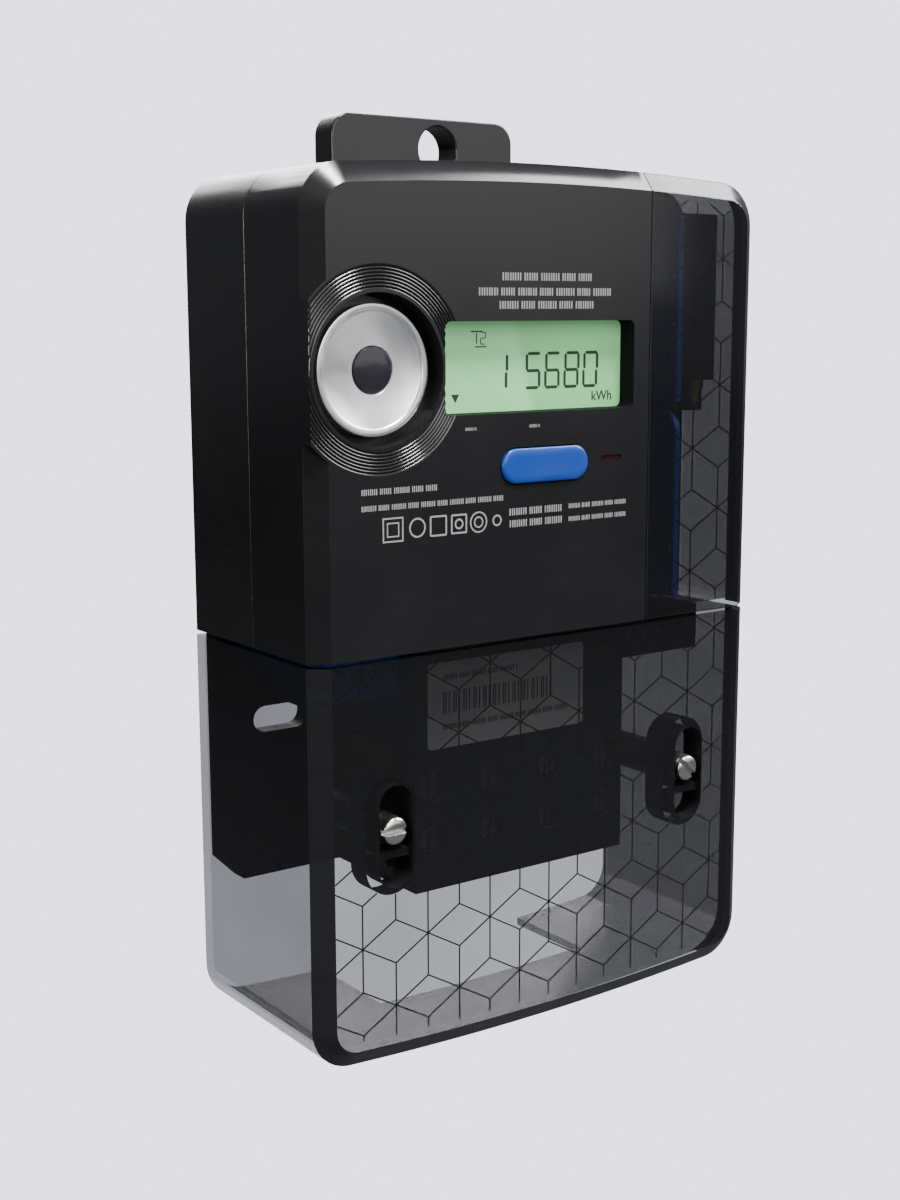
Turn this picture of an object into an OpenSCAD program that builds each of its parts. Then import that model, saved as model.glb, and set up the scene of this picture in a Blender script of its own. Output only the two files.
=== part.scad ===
// Single-phase smart electricity meter for wall mounting, in millimetres.
// The origin lies on the wall face, on the centre line. +Z is up and the front looks along -Y.

/* [Case] */
// Width of the case
case_w = 130; // [126:1:160]
// Distance from the wall face to the flat front face
case_d = 53.4; // [50:0.2:66]
// Height of the upper corners above the origin
top_h = 100; // [95:1:125]
// Depth of the lower corners below the origin
bottom_h = 97; // [90:1:120]
// Rise of the upper edge at mid width
top_arch = 2.5; // [0:0.1:4]
// Drop of the lower edge at mid width
bottom_arch = 2.4; // [0:0.1:4]
// Radius of the outline's corners
corner_r = 10.5; // [8:0.5:14]
// Width of the bevel around the front, seen from the front
bevel_w = 4.4; // [3:0.1:5]
// Depth of the bevel, from the side wall to the front face
bevel_d = 3.4; // [2.5:0.1:4]
// Thickness of the moulded walls
wall = 2.2; // [1.8:0.1:2.8]
// Distance from the wall face to the seam between rear base and front cover
seam_d = 27.3; // [25:0.1:29]
// Height of the line that splits the upper case from the terminal cover
split_h = -4.6; // [-8:0.1:-3]
// Gap between the covers
split_gap = 1; // [0.6:0.1:1.4]
// Thickness of the plate that carries the terminals
plate_t = 5; // [4:0.5:6]
// Lower end of that plate
plate_low = -66; // [-72:1:-62]

/* [Hanger] */
// Left edge of the hanger
hanger_left = -30.3; // [-34:0.1:-26]
// Right edge of the hanger
hanger_right = 22.7; // [18:0.1:28]
// How far the hanger stands above the upper corners
hanger_rise = 16.1; // [14:0.1:18]
// Thickness of the hanger
hanger_t = 7.9; // [6:0.1:9]
// Radius of the hanging hole
hanger_hole_r = 5.6; // [4:0.1:6]
// Distance from the hanger's top to the hole's centre
hanger_hole_drop = 7.3; // [7:0.1:9]
// Travel of the hanger into the case
hanger_travel = 14; // [10:0.5:16]

/* [Display] */
// Centre of the display opening
display_at = [-3.2, 57.7];
// Width of the display opening
display_w = 54.6; // [48:0.2:56]
// Height of the display opening
display_h = 20.4; // [18:0.2:24]
// Depth from the front face to the display glass
display_sink = 4.8; // [4:0.1:5.5]

/* [Reading port] */
// Centre of the optical reading port
port_at = [-47.5, 57.7];
// Radius of the grooved boss around the port
boss_r = 22.9; // [21:0.1:23]
// Radius of the recess that seats the reading head
recess_r = 16.4; // [16:0.1:16.5]
// Radius of the steel ring
ring_r = 14.15; // [13:0.05:14.5]
// Depth from the front face to the ring's rim
ring_sink = 2.5; // [1.5:0.1:3]
// Thickness of the steel ring
ring_t = 3; // [2:0.1:3.5]
// Radius of the dark window
lens_r = 5; // [4:0.1:6]

/* [Button] */
// Centre of the button
button_at = [-2.7, 35.5];
// Length of the button
button_w = 25; // [20:0.5:28]
// Height of the button
button_h = 7.9; // [6:0.1:9]
// Travel of the button
button_travel = 0.8; // [0.5:0.1:1]

/* [Pulse light] */
// Centre of the slot
slot_at = [17.3, 36];
// Length of the slot
slot_w = 6.2; // [5:0.1:8]
// Height of the slot
slot_h = 1.3; // [1:0.1:2]

/* [Module bay] */
// Seam between the front cover and the module cover
bay_left = 29; // [27:0.1:31]
// Left face of the plug-in boards
module_x = 43; // [42:0.1:45]
// Height of the line between the two plug-in boards
module_mid = 47; // [44:0.5:50]

/* [Terminals] */
// Half width of the terminal block
block_half = 31.7; // [31:0.1:33]
// Distance from the wall face to the front of the terminal block
block_d = 42.3; // [40:0.1:43]
// Lower end of the terminal block
block_low = -64.5; // [-65.5:0.5:-62]
// Distance between the terminals
pitch = 17.65; // [17:0.05:18]
// Heights of the two rows of clamp screws
screw_rows = [-39.6, -52.3];
// Radius of the conductor bores
conductor_r = 3.9; // [3:0.1:4.2]

/* [Seal screws] */
// Distance of the seal screws from the centre line
seal_x = 44.4; // [42:0.1:47]
// Height of the seal screws
seal_z = -44; // [-48:0.5:-40]
// Width of the screw collars
collar_w = 13.4; // [12:0.1:14]
// Height of the screw collars
collar_h = 28; // [24:0.5:30]
// Depth of the collars' recess
collar_sink = 6.5; // [5:0.1:7]
// Thickness of the cover's walls
cover_t = 2; // [1.6:0.1:2.4]

/* [Fixing slots] */
// Distance of the fixing slots from the centre line
fix_x = 45.5; // [44:0.5:47]
// Height of the fixing slots
fix_z = -27; // [-30:0.5:-26]
// Half width of a slot
fix_r = 3.2; // [2.5:0.1:3.5]
// Length of a slot
fix_len = 15; // [10:0.5:16]

/* [Hidden] */
$fn = 48;

black = [0.07, 0.07, 0.075];
smoke = [0.2, 0.2, 0.21, 0.45];
steel = [0.75, 0.75, 0.76];
brass = [0.8, 0.65, 0.3];
copper = [0.78, 0.45, 0.3];
board_green = [0.1, 0.35, 0.2];
module_blue = [0.05, 0.12, 0.45];

half = case_w / 2;
side_d = case_d - bevel_d;
upper_low = split_h + split_gap / 2;
cover_top = split_h - split_gap / 2;
fit = 0.4;
skin = 0.3;

// Inside of the case
room_half = half - wall;
room_top = top_h - wall;
room_low = upper_low + wall;
back_t = 3;
face_t = wall;
bay_d = seam_d + 2;
partition = bay_left - 0.15;

// Boards, measured from the wall face
board_t = 1.6;
main_d = back_t + hanger_t + 2.7;
front_board_d = case_d - 10.4;

// Hanger, with ears that run in two grooves of the rear base
hanger_low = top_h - hanger_travel + 1;
ear_w = 2;
ear_h = 8;
ear_front = 5.6;
ear_back = 3;
hanger_r = 5;
pocket_low = hanger_low - hanger_travel - 0.6;

// Reading port and display
glass_d = case_d - display_sink;
ring_d = case_d - ring_sink;
seat_d = ring_d - ring_t;
seat_wall_r = recess_r + 0.7;
glass_t = 2;

// Seal screws
floor_d = case_d - collar_sink;
floor_t = 2;
post_d = floor_d - floor_t - fit;
post_r = 4.5;
insert_r = 2.7;
insert_len = 9;
shank_r = 1.75;
head_r = 3.3;
head_h = collar_sink + 0.3;
running = 0.06;

// Terminals
columns = [-1.5, -0.5, 0.5, 1.5] * pitch;
clamp_half = 6;
clamp_low = block_low + 4;
clamp_high = -31;
clamp_back = 13.5;
clamp_front = 31;
bore_d = clamp_back + 1.6 + conductor_r;
screw_head_r = 3.4;
screw_r = 2.4;
bar_half = 4.5;
bar_t = 2;
block_top = -6;

// Lines of the outline: the arches are shallow parabolas that end at the corners
function arch(x, w, sag) = sag * (1 - pow(x / w, 2));
corner_steps = 10;
function turn(cx, cz, r, a0, a1) = [for (i = [0 : corner_steps]) [
  cx + r * cos(a0 + (a1 - a0) * i / corner_steps),
  cz + r * sin(a0 + (a1 - a0) * i / corner_steps)]];
function top_line(w, z, sag, r) = concat(
  turn(w - r, z + arch(w - r, w, sag) - r, r, 0, 90),
  [for (i = [1 : 11]) let (x = (w - r) * (1 - i / 6)) [x, z + arch(x, w, sag)]],
  turn(r - w, z + arch(w - r, w, sag) - r, r, 90, 180));
function bottom_line(w, z, sag, r) = [for (p = top_line(w, z, sag, r)) [-p[0], -p[1]]];

module upper_outline(inset, low, r) {
  w = half - inset;
  polygon(concat([[-w, low], [w, low]], top_line(w, top_h - inset, top_arch, r)));
}

module lower_outline(inset, high, r) {
  w = half - inset;
  polygon(concat([[w, high], [-w, high]], bottom_line(w, bottom_h - inset, bottom_arch, r)));
}

// Solids between two distances from the wall face
module slab(back, front) {
  translate([0, -back, 0]) rotate([90, 0, 0]) linear_extrude(front - back) children();
}

module rod(r, back, front) {
  translate([0, -back, 0]) rotate([90, 0, 0]) cylinder(r = r, h = front - back);
}

module post(r, low, high) {
  translate([0, 0, low]) cylinder(r = r, h = high - low);
}

module box(x0, x1, back, front, z0, z1) {
  translate([x0, -front, z0]) cube([x1 - x0, front - back, z1 - z0]);
}

module at(p) {
  translate([p[0], 0, p[1]]) children();
}

module pill(w, h) {
  square([w - h, h], center = true);
  for (s = [-1, 1]) translate([s * (w - h) / 2, 0]) circle(h / 2);
}

module rounded(w, h, r) {
  square([w - 2 * r, h], center = true);
  square([w, h - 2 * r], center = true);
  for (sx = [-1, 1], sz = [-1, 1]) translate([sx * (w / 2 - r), sz * (h / 2 - r)]) circle(r);
}

// Outer shape of the upper case and of the terminal cover, each with its bevelled front
module upper_shape(back) {
  slab(back, side_d) upper_outline(0, upper_low, corner_r);
  hull() {
    slab(side_d - 0.1, side_d) upper_outline(0, upper_low, corner_r);
    slab(case_d - 0.05, case_d) upper_outline(bevel_w, upper_low, corner_r - bevel_w);
  }
}

module lower_shape() {
  slab(0, side_d) lower_outline(0, cover_top, corner_r);
  hull() {
    slab(side_d - 0.1, side_d) lower_outline(0, cover_top, corner_r);
    slab(case_d - 0.05, case_d) lower_outline(bevel_w, cover_top, corner_r - bevel_w);
  }
}

// Places of the four case screws: two beside the hanger, two beside the terminals' bars
case_screw_x = room_half - 5;
case_screw_high = room_top - corner_r - 3;
case_screw_low = room_low + 6;
case_screw_r = 1.5;

module at_case_screws() {
  for (s = [-1, 1], z = [case_screw_low, case_screw_high]) at([s * case_screw_x, z]) children();
}

module at_seals() {
  for (s = [-1, 1]) at([s * seal_x, seal_z]) children();
}

module at_fixings() {
  for (s = [-1, 1]) at([s * fix_x, fix_z]) children();
}

module hanger_outline(grow, low, high) {
  translate([hanger_left - grow, low]) square([hanger_right - hanger_left + 2 * grow, high - low]);
}

// Rear base: a tray for the upper case, with the terminal plate below it
plate_half = half - cover_t - fit;
plate_cut = 6;

module terminal_plate() {
  slab(0, plate_t) polygon([[-plate_half, room_low], [-plate_half, plate_low + plate_cut],
    [plate_cut - plate_half, plate_low], [plate_half - plate_cut, plate_low],
    [plate_half, plate_low + plate_cut], [plate_half, room_low]]);
}

module hanger_housing() {
  pocket_wall = 1.5;
  box(hanger_left - ear_w - pocket_wall - fit, hanger_right + ear_w + pocket_wall + fit, 0,
    hanger_t + skin + pocket_wall, pocket_low - pocket_wall, top_h - 0.5);
}

module hanger_pocket() {
  slab(-1, hanger_t + skin) hanger_outline(skin, pocket_low, top_h + 10);
  slab(ear_back - skin, ear_front + skin) {
    hanger_outline(ear_w + skin, pocket_low, hanger_low + ear_h + skin);
  }
}

module rear_base() {
  color(black) difference() {
    union() {
      difference() {
        slab(0, seam_d) upper_outline(0, upper_low, corner_r);
        slab(back_t, seam_d + 1) upper_outline(wall, room_low, corner_r - wall);
      }
      terminal_plate();
      hanger_housing();
      at_seals() rod(post_r, 1, post_d);
      at_case_screws() rod(3.6, 1, seam_d - 3);
      for (x = [-1, 1] * board_screw_x, z = board_screw_z) at([x, z]) rod(3, 1, main_d - skin);
    }
    hanger_pocket();
    at_seals() rod(insert_r, post_d - insert_len, post_d + 1);
    at_seals() rod(shank_r + 0.6, 12, post_d);
    at_case_screws() rod(case_screw_r + 0.3, -1, seam_d);
    at_case_screws() rod(3, -1, 8);
    at_fixings() slab(-1, plate_t + 1) pill(fix_len, 2 * fix_r);
    for (x = [-1, 1] * board_screw_x, z = board_screw_z) at([x, z]) rod(1.2, 4, main_d);
    for (x = columns) box(x - bar_half - fit, x + bar_half + fit, bore_d - bar_t, bore_d + bar_t,
      upper_low - 1, room_low + 1);
  }
}

// Seal that lies in the seam, inside the walls
module case_seal() {
  color([0.2, 0.2, 0.2]) slab(seam_d - 1.8, seam_d - 0.02) difference() {
    upper_outline(wall + 0.05, room_low + 0.05, corner_r - wall);
    upper_outline(wall + 1.2, room_low + 1.2, corner_r - wall - 1);
  }
}

// Front cover, with the port, display, button and light openings and the module bay
module grooves() {
  for (r = [recess_r + 1 : 0.9 : boss_r - 0.6]) difference() {
    rod(r + 0.25, case_d - 0.25, case_d + 1);
    rod(r - 0.05, case_d - 1, case_d + 2);
  }
}

module left_part(edge) {
  box(-half, edge, -1, case_d + 1, upper_low - 1, top_h + top_arch + 1);
}

module front_shell() {
  difference() {
    union() {
      upper_shape(seam_d);
      intersection() {
        at(port_at) rod(boss_r, side_d - 6, case_d);
        left_part(half);
      }
    }
    slab(seam_d - 1, side_d - 3) upper_outline(wall, room_low, corner_r - wall);
    slab(seam_d, case_d - face_t) upper_outline(bevel_w + 0.6, room_low, corner_r - bevel_w);
  }
}

module front_cover() {
  color(black) difference() {
    union() {
      intersection() {
        front_shell();
        left_part(partition);
      }
      intersection() {
        slab(seam_d, case_d - 1) upper_outline(1, upper_low, corner_r - 1);
        box(partition - wall, partition, seam_d, case_d - 1, upper_low, top_h + 4);
      }
      intersection() {
        slab(seam_d, bay_d) upper_outline(cover_t + fit, upper_low + cover_t + fit, corner_r - cover_t);
        box(partition - wall, half, seam_d, bay_d, upper_low, top_h + 4);
      }
      at(display_at) slab(glass_d - glass_t, case_d - 1) rounded(display_w + 2.4, display_h + 2.4, 2.4);
      intersection() {
        at(port_at) rod(seat_wall_r, seat_d - 1.6, case_d - 1);
        left_part(half);
      }
      at(button_at) slab(case_d - 5, case_d - 1) pill(button_w + 3, button_h + 3);
      for (s = [-1, 1]) intersection() {
        at([s * case_screw_x, case_screw_high]) rod(3.6, seam_d - 2.6, s < 0 ? side_d - 3 : bay_d);
        upper_shape(seam_d - 3);
      }
      for (s = [-1, 1]) intersection() {
        at([s * case_screw_x, case_screw_low]) rod(3.6, seam_d - 2.6, s < 0 ? side_d - 3 : bay_d);
        upper_shape(seam_d - 3);
      }
    }
    at_case_screws() rod(case_screw_r + 0.02, seam_d - 3, bay_d - 0.4);
    at(display_at) slab(glass_d - glass_t - 1, case_d + 1) rounded(display_w, display_h, 1.6);
    at(port_at) rod(recess_r, seat_d, case_d + 1);
    at(port_at) rod(ring_r - 3, seat_d - 3, seat_d + 1);
    at(port_at) grooves();
    at(button_at) slab(seam_d, case_d + 1) pill(button_w + 2 * skin, button_h + 2 * skin);
    at(slot_at) slab(seam_d, case_d + 1) rounded(slot_w, slot_h, 0.5);
  }
}

module case_screws() {
  color(steel) at_case_screws() difference() {
    union() {
      rod(2.7, 5.9, 8);
      rod(case_screw_r, 5.9, bay_d - 1);
    }
    box(-0.4, 0.4, 5, 6.9, -2, 2);
  }
}

// Hanger
module hanger() {
  hole_z = top_h + hanger_rise - hanger_hole_drop;
  high = top_h + hanger_rise;
  color(black) difference() {
    union() {
      slab(0, hanger_t) union() {
        hanger_outline(0, hanger_low, high - hanger_r);
        hanger_outline(-hanger_r, hanger_low, high);
        for (x = [hanger_left + hanger_r, hanger_right - hanger_r]) {
          translate([x, high - hanger_r]) circle(hanger_r);
        }
      }
      slab(ear_back, ear_front) hanger_outline(ear_w, hanger_low, hanger_low + ear_h);
    }
    at([0, hole_z]) rod(hanger_hole_r, -1, hanger_t + 1);
  }
}

// Display
module display_frame() {
  color(black) difference() {
    at(display_at) slab(front_board_d + 0.05, glass_d - glass_t - 0.4) {
      rounded(display_w + 3, display_h + 3, 1.5);
    }
    at(display_at) slab(front_board_d, glass_d) rounded(display_w + 0.2, display_h + 0.2, 0.8);
    at(port_at) rod(seat_wall_r + skin, front_board_d, glass_d);
  }
}

module display_glass() {
  color([0.6, 0.78, 0.64]) at(display_at) slab(glass_d - glass_t, glass_d) {
    rounded(display_w - 0.1, display_h - 0.1, 1.5);
  }
}

module backlight() {
  color([0.85, 0.9, 0.86]) at(display_at) {
    slab(front_board_d + 0.05, glass_d - glass_t - 0.05) rounded(display_w - 1, display_h - 4, 0.6);
  }
}

module display_contacts() {
  color([0.25, 0.25, 0.27]) at(display_at) for (s = [-1, 1]) {
    translate([0, 0, s * (display_h / 2 - 0.9)]) box(1 - display_w / 2, display_w / 2 - 1,
      front_board_d + 0.05, glass_d - glass_t - 0.05, -0.6, 0.6);
  }
}

// Reading port
module port_ring() {
  color(steel) at(port_at) difference() {
    rod(ring_r, seat_d, ring_d);
    rod(ring_r - 1.65, ring_d - 0.4, ring_d + 1);
    rod(lens_r + 0.05, seat_d - 1, ring_d + 1);
  }
}

module port_window() {
  color([0.12, 0.12, 0.13]) at(port_at) union() {
    rod(lens_r, seat_d, ring_d - 0.1);
    rod(lens_r + 2, seat_d - 1.4, seat_d);
  }
}

module diode(x) {
  at([port_at[0] + x, port_at[1]]) {
    rod(1.5, front_board_d + 0.05, seat_d - 2);
    for (s = [-0.8, 0.8]) translate([s, 0, 0]) {
      rod(0.25, front_board_d - board_t - 0.8, front_board_d + 0.1);
    }
  }
}

module infrared_emitter() {
  color([0.3, 0.25, 0.35]) diode(-2.6);
}

module infrared_receiver() {
  color([0.1, 0.1, 0.1]) diode(2.6);
}

module diode_holder() {
  color(black) at(port_at) difference() {
    rod(6.4, front_board_d + 0.1, seat_d - 2.6);
    for (s = [-2.6, 2.6]) translate([s, 0, 0]) rod(1.55, front_board_d - 1, seat_d);
  }
}

// Front board, which carries the display and the diodes
module front_board() {
  color(board_green) difference() {
    slab(front_board_d - board_t, front_board_d) translate([(bay_left - half) / 2 - 0.8, 49])
      rounded(bay_left + half - 12, 46, 2);
    at(port_at) for (s = [-2.6, 2.6], p = [-0.8, 0.8]) translate([s + p, 0, 0]) {
      rod(0.3, front_board_d - 3, front_board_d + 1);
    }
    at(slot_at) for (p = [-1.27, 1.27]) translate([p, 0, 0]) {
      rod(0.3, front_board_d - 3, front_board_d + 1);
    }
  }
}

// Button
cap_d = case_d + 0.8;
module button_cap() {
  color([0.13, 0.36, 0.78]) at(button_at) {
    slab(case_d - 4, cap_d) pill(button_w, button_h);
    slab(case_d - 5.2, case_d - 4) pill(button_w - 2, button_h - 1);
    rod(1.6, front_board_d + 4.5 + button_travel, case_d - 5);
  }
}

module button_switch() {
  color([0.15, 0.15, 0.16]) at(button_at) {
    box(-3, 3, front_board_d + 0.05, front_board_d + 3, -3, 3);
    rod(1.7, front_board_d + 2.9, front_board_d + 4.2);
  }
}

module pulse_led() {
  color([0.7, 0.15, 0.12]) at(slot_at) {
    rod(1.5, front_board_d + 0.4, case_d - face_t - 3.4);
    for (p = [-1.27, 1.27]) translate([p, 0, 0]) {
      rod(0.25, front_board_d - board_t - 0.8, front_board_d + 0.5);
    }
  }
}

module pulse_lens() {
  color([0.35, 0.1, 0.1]) at(slot_at) {
    slab(case_d - face_t - 0.1, case_d - 0.3) rounded(slot_w - 0.1, slot_h - 0.1, 0.4);
    slab(case_d - face_t - 1.3, case_d - face_t - 0.05) rounded(slot_w + 2, slot_h + 2, 0.5);
  }
}

// Main board and what stands on it
board_half = room_half - 2;
board_low = room_low + 1.5;
board_high = room_top - 5;
board_screw_x = 36;
board_screw_z = [board_low + 20, board_low + 62];
module main_board() {
  color(board_green) difference() {
    slab(main_d, main_d + board_t) translate([0, (board_low + board_high) / 2])
      rounded(2 * board_half, board_high - board_low, 8);
    at_case_screws() rod(4.2, 0, main_d + 5);
    box(columns[2] - 9.2, columns[2] + 9.2, 0, main_d + 5, 0, bar_high - 2.4);
    for (x = [-1, 1] * board_screw_x, z = board_screw_z) at([x, z]) rod(1.6, main_d - 1, main_d + 5);
  }
}

module board_screws() {
  color(steel) for (x = [-1, 1] * board_screw_x, z = board_screw_z) at([x, z]) difference() {
    union() {
      rod(1.15, main_d - 6, main_d + board_t + 0.1);
      rod(2.6, main_d + board_t + 0.02, main_d + board_t + 1.8);
    }
    for (a = [0, 90]) rotate([0, a, 0]) box(-0.35, 0.35, main_d + board_t + 0.9, main_d + 6, -1.6, 1.6);
  }
}

module chip(x, z, w, pins) {
  at([x, z]) {
    box(-w / 2, w / 2, main_d + board_t + 0.1, main_d + board_t + 1.6, -w / 2, w / 2);
    for (s = [-1, 1], i = [0 : pins - 1]) {
      p = (i - (pins - 1) / 2) * w / (pins + 1);
      box(s * (w / 2 + 0.5) - 0.7, s * (w / 2 + 0.5) + 0.7, main_d + board_t + 0.02,
        main_d + board_t + 0.5, p - 0.2, p + 0.2);
    }
  }
}

module metering_chip() {
  color([0.08, 0.08, 0.08]) chip(-8, 28, 7, 6);
}

module control_chip() {
  color([0.08, 0.08, 0.08]) chip(10, 47, 12, 10);
}

module clock_crystal() {
  color(steel) at([26, 47]) slab(main_d + board_t + 0.02, main_d + board_t + 3.5) pill(11, 4.6);
}

module film_capacitor() {
  color([0.85, 0.6, 0.1]) at([-48, 66]) slab(main_d + board_t + 0.02, main_d + board_t + 18) {
    rounded(11, 26, 0.8);
  }
}

module supply_capacitor() {
  color([0.12, 0.12, 0.3]) at([-32, 79]) {
    rod(6.25, main_d + board_t + 0.02, main_d + board_t + 20);
    rod(5.2, main_d + board_t + 19, main_d + board_t + 20.4);
  }
}

module surge_varistor() {
  color([0.1, 0.25, 0.6]) at([-18, 71]) {
    translate([-2, -(main_d + board_t + 9.5), 0]) rotate([0, 90, 0]) cylinder(r = 7, h = 4);
    for (s = [-1, 1]) translate([0, 0, s * 3.5]) rod(0.4, main_d + board_t + 0.02, main_d + board_t + 4);
  }
}

module backup_battery() {
  color([0.3, 0.55, 0.35]) translate([14, -(main_d + board_t + 7.6), 58]) {
    cylinder(r = 7.2, h = 25);
    translate([0, 0, 24.9]) cylinder(r = 2.5, h = 1.2);
  }
}

// Power path: clamps, bars, shunt, relay and transformer
bar_high = 16;
module busbars() {
  color(copper) for (x = columns) {
    box(x - bar_half, x + bar_half, bore_d - bar_t / 2, bore_d + bar_t / 2, clamp_high, bar_high);
  }
}

module current_shunt() {
  color(copper) union() {
    box(columns[0] - bar_half, columns[0] + bar_half, bore_d - bar_t / 2, bore_d + bar_t / 2,
      bar_high + 0.02, bar_high + 8);
    box(columns[0] - bar_half, columns[0] + bar_half, bore_d - bar_t / 2, bore_d + bar_t / 2,
      bar_high + 12, bar_high + 20);
    box(columns[0] - bar_half + 1, columns[0] + bar_half - 1, bore_d - 0.7, bore_d + 0.7,
      bar_high + 7.5, bar_high + 12.5);
  }
}

module load_relay() {
  color([0.92, 0.92, 0.9]) union() {
    box(columns[0] - bar_half - 8, columns[1] + bar_half, main_d + board_t + 2, front_board_d - 4,
      bar_high + 22, bar_high + 44);
    box(columns[0] - bar_half, columns[0] + bar_half, bore_d - bar_t / 2, bore_d + bar_t / 2,
      bar_high + 20.02, bar_high + 23);
    box(columns[1] - bar_half, columns[1] + bar_half, bore_d - bar_t / 2, bore_d + bar_t / 2,
      bar_high + 0.02, bar_high + 23);
  }
}

module neutral_transformer() {
  color([0.15, 0.2, 0.5]) translate([columns[2], -bore_d, bar_high - 12]) difference() {
    cylinder(r = 8.6, h = 9);
    translate([0, 0, -1]) cylinder(r = 5.2, h = 11);
  }
}

module board_link() {
  color([0.1, 0.1, 0.1]) at([11, 33]) {
    box(-8, 8, main_d + board_t + 0.02, front_board_d - board_t - 0.02, -2.4, 2.4);
  }
}

// Terminal block with its clamps
module terminal_block() {
  color(black) difference() {
    box(-block_half, block_half, plate_t + 0.02, block_d, block_low, block_top);
    for (x = columns) {
      box(x - clamp_half - 0.1, x + clamp_half + 0.1, clamp_back - 0.1, clamp_front + 0.1,
        clamp_low - 0.1, clamp_high + 0.1);
      translate([x, -bore_d, 0]) post(conductor_r + 0.6, block_low - 1, clamp_low);
      for (z = screw_rows) at([x, z]) rod(screw_head_r + 0.4, clamp_front, block_d + 1);
      box(x - bar_half - fit, x + bar_half + fit, bore_d - bar_t, bore_d + bar_t, clamp_high,
        block_top + 1);
    }
    at([switch_x, switch_z]) box(-3.6, 3.6, block_d - 8.2, block_d + 1, -3.6, 3.6);
  }
}

module terminal_clamps() {
  color(brass) for (x = columns) difference() {
    box(x - clamp_half, x + clamp_half, clamp_back, clamp_front, clamp_low, clamp_high);
    translate([x, -bore_d, 0]) post(conductor_r, clamp_low - 1, clamp_high - 4);
    for (z = screw_rows) at([x, z]) rod(screw_r + running, bore_d, clamp_front + 1);
    box(x - bar_half, x + bar_half, bore_d - bar_t / 2, bore_d + bar_t / 2, clamp_high - 4.5,
      clamp_high + 1);
  }
}

module clamp_screws() {
  color(steel) for (x = columns, z = screw_rows) at([x, z]) difference() {
    union() {
      rod(screw_r, bore_d + conductor_r, clamp_front + 5);
      rod(screw_head_r, clamp_front + 4.5, block_d - 2.3);
    }
    box(-0.5, 0.5, block_d - 4, block_d, -4, 4);
    box(-4, 4, block_d - 4, block_d, -0.5, 0.5);
  }
}

// Small plug-in terminals under the case
small_top = upper_low - 1.4;
module small_terminal(x0, x1, low) {
  n = floor((x1 - x0) / 5);
  step = (x1 - x0) / n;
  difference() {
    box(x0, x1, 24, 38, low, small_top);
    for (i = [0 : n - 1]) {
      x = x0 + (i + 0.5) * step;
      at([x, low + 6]) rod(1.6, 33, 39);
      translate([x, -30, 0]) post(1.4, low - 1, low + 6);
    }
  }
}

module blue_terminal() {
  color([0.06, 0.15, 0.5]) union() {
    small_terminal(-58, -33, -17);
    box(-56, -35, plate_t + 0.02, 24.1, -13, small_top - 0.5);
  }
}

module black_terminal() {
  color([0.05, 0.05, 0.05]) union() {
    small_terminal(36, 61, -17);
    box(38, 59, plate_t + 0.02, 24.1, -13, small_top - 0.5);
  }
}

module small_screws() {
  color(steel) for (x0 = [-58, 36], i = [0 : 4]) at([x0 + (i + 0.5) * 5, -11]) difference() {
    rod(1.5, 33.02, 36.8);
    box(-0.25, 0.25, 36, 39, -2, 2);
  }
}

module terminal_label() {
  color([0.85, 0.86, 0.87]) at([-4.8, -20.2]) {
    slab(block_d + 0.01, block_d + 0.3) rounded(46.8, 20.5, 1.2);
  }
}

// Switch that senses the terminal cover
switch_x = 25.2;
switch_z = -13;
plunger_d = block_d + 3;
module cover_switch() {
  color([0.1, 0.1, 0.1]) at([switch_x, switch_z]) difference() {
    box(-3.5, 3.5, block_d - 8, block_d - 1, -3.5, 3.5);
    rod(1.5, block_d - 6, block_d);
  }
}

module cover_plunger() {
  color([0.75, 0.1, 0.1]) at([switch_x, switch_z]) rod(1.2, block_d - 3.5, plunger_d);
}

// Terminal cover and its seal screws
collar_z = seal_z - 1.2;
notch_half = block_half;
notch_d = bore_d + conductor_r + 4;
module screw_collars() {
  for (s = [-1, 1]) at([s * seal_x, collar_z]) {
    slab(floor_d - floor_t, case_d) pill_up(collar_w, collar_h);
  }
}

module pill_up(w, h) {
  rotate(90) pill(h, w);
}

module terminal_cover() {
  color(smoke) difference() {
    union() {
      difference() {
        lower_shape();
        slab(-1, side_d - 3) lower_outline(cover_t, cover_top + 1, corner_r - cover_t);
        slab(0, case_d - cover_t) lower_outline(bevel_w + 0.6, cover_top + 1, corner_r - bevel_w);
      }
      screw_collars();
      at([switch_x, switch_z]) rod(2, plunger_d + 0.5, case_d - 1);
    }
    for (s = [-1, 1]) at([s * seal_x, collar_z]) difference() {
      slab(floor_d, case_d + 1) pill_up(collar_w - 4.4, collar_h - 4.4);
      box(-collar_w, collar_w, floor_d - 1, case_d - 1.2, -5.2, -3.4);
    }
    at_seals() rod(shank_r + 0.15, floor_d - floor_t - 1, case_d);
    at_seals() rod(head_r + 0.3, floor_d, case_d + 1);
    box(-notch_half, notch_half, -1, notch_d, -bottom_h - bottom_arch - 1, cover_t - bottom_h + 1);
  }
}

module seal_screw(s) {
  color(steel) at([s * seal_x, seal_z]) difference() {
    union() {
      rod(shank_r, post_d - insert_len + 0.5, floor_d + 0.2);
      rod(head_r, floor_d + 0.05, floor_d + head_h);
      rod(shank_r + 0.8, floor_d - floor_t - 1.4, floor_d - floor_t - 0.5 + 0.1);
    }
    box(-4, 4, floor_d + head_h - 1.6, case_d + 2, -0.6, 0.6);
    translate([0, -(floor_d + head_h / 2 - 0.5), 0]) rotate([0, 90, 0]) {
      cylinder(r = 0.9, h = 10, center = true);
    }
  }
}

module seal_screw_left() {
  seal_screw(-1);
}

module seal_screw_right() {
  seal_screw(1);
}

module post_inserts() {
  color(brass) at_seals() difference() {
    rod(insert_r, post_d - insert_len, post_d - 0.1);
    rod(shank_r + running, post_d - insert_len - 1, post_d + 1);
    rod(shank_r + 1.1, post_d - 1.6, post_d + 1);
  }
}

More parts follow.
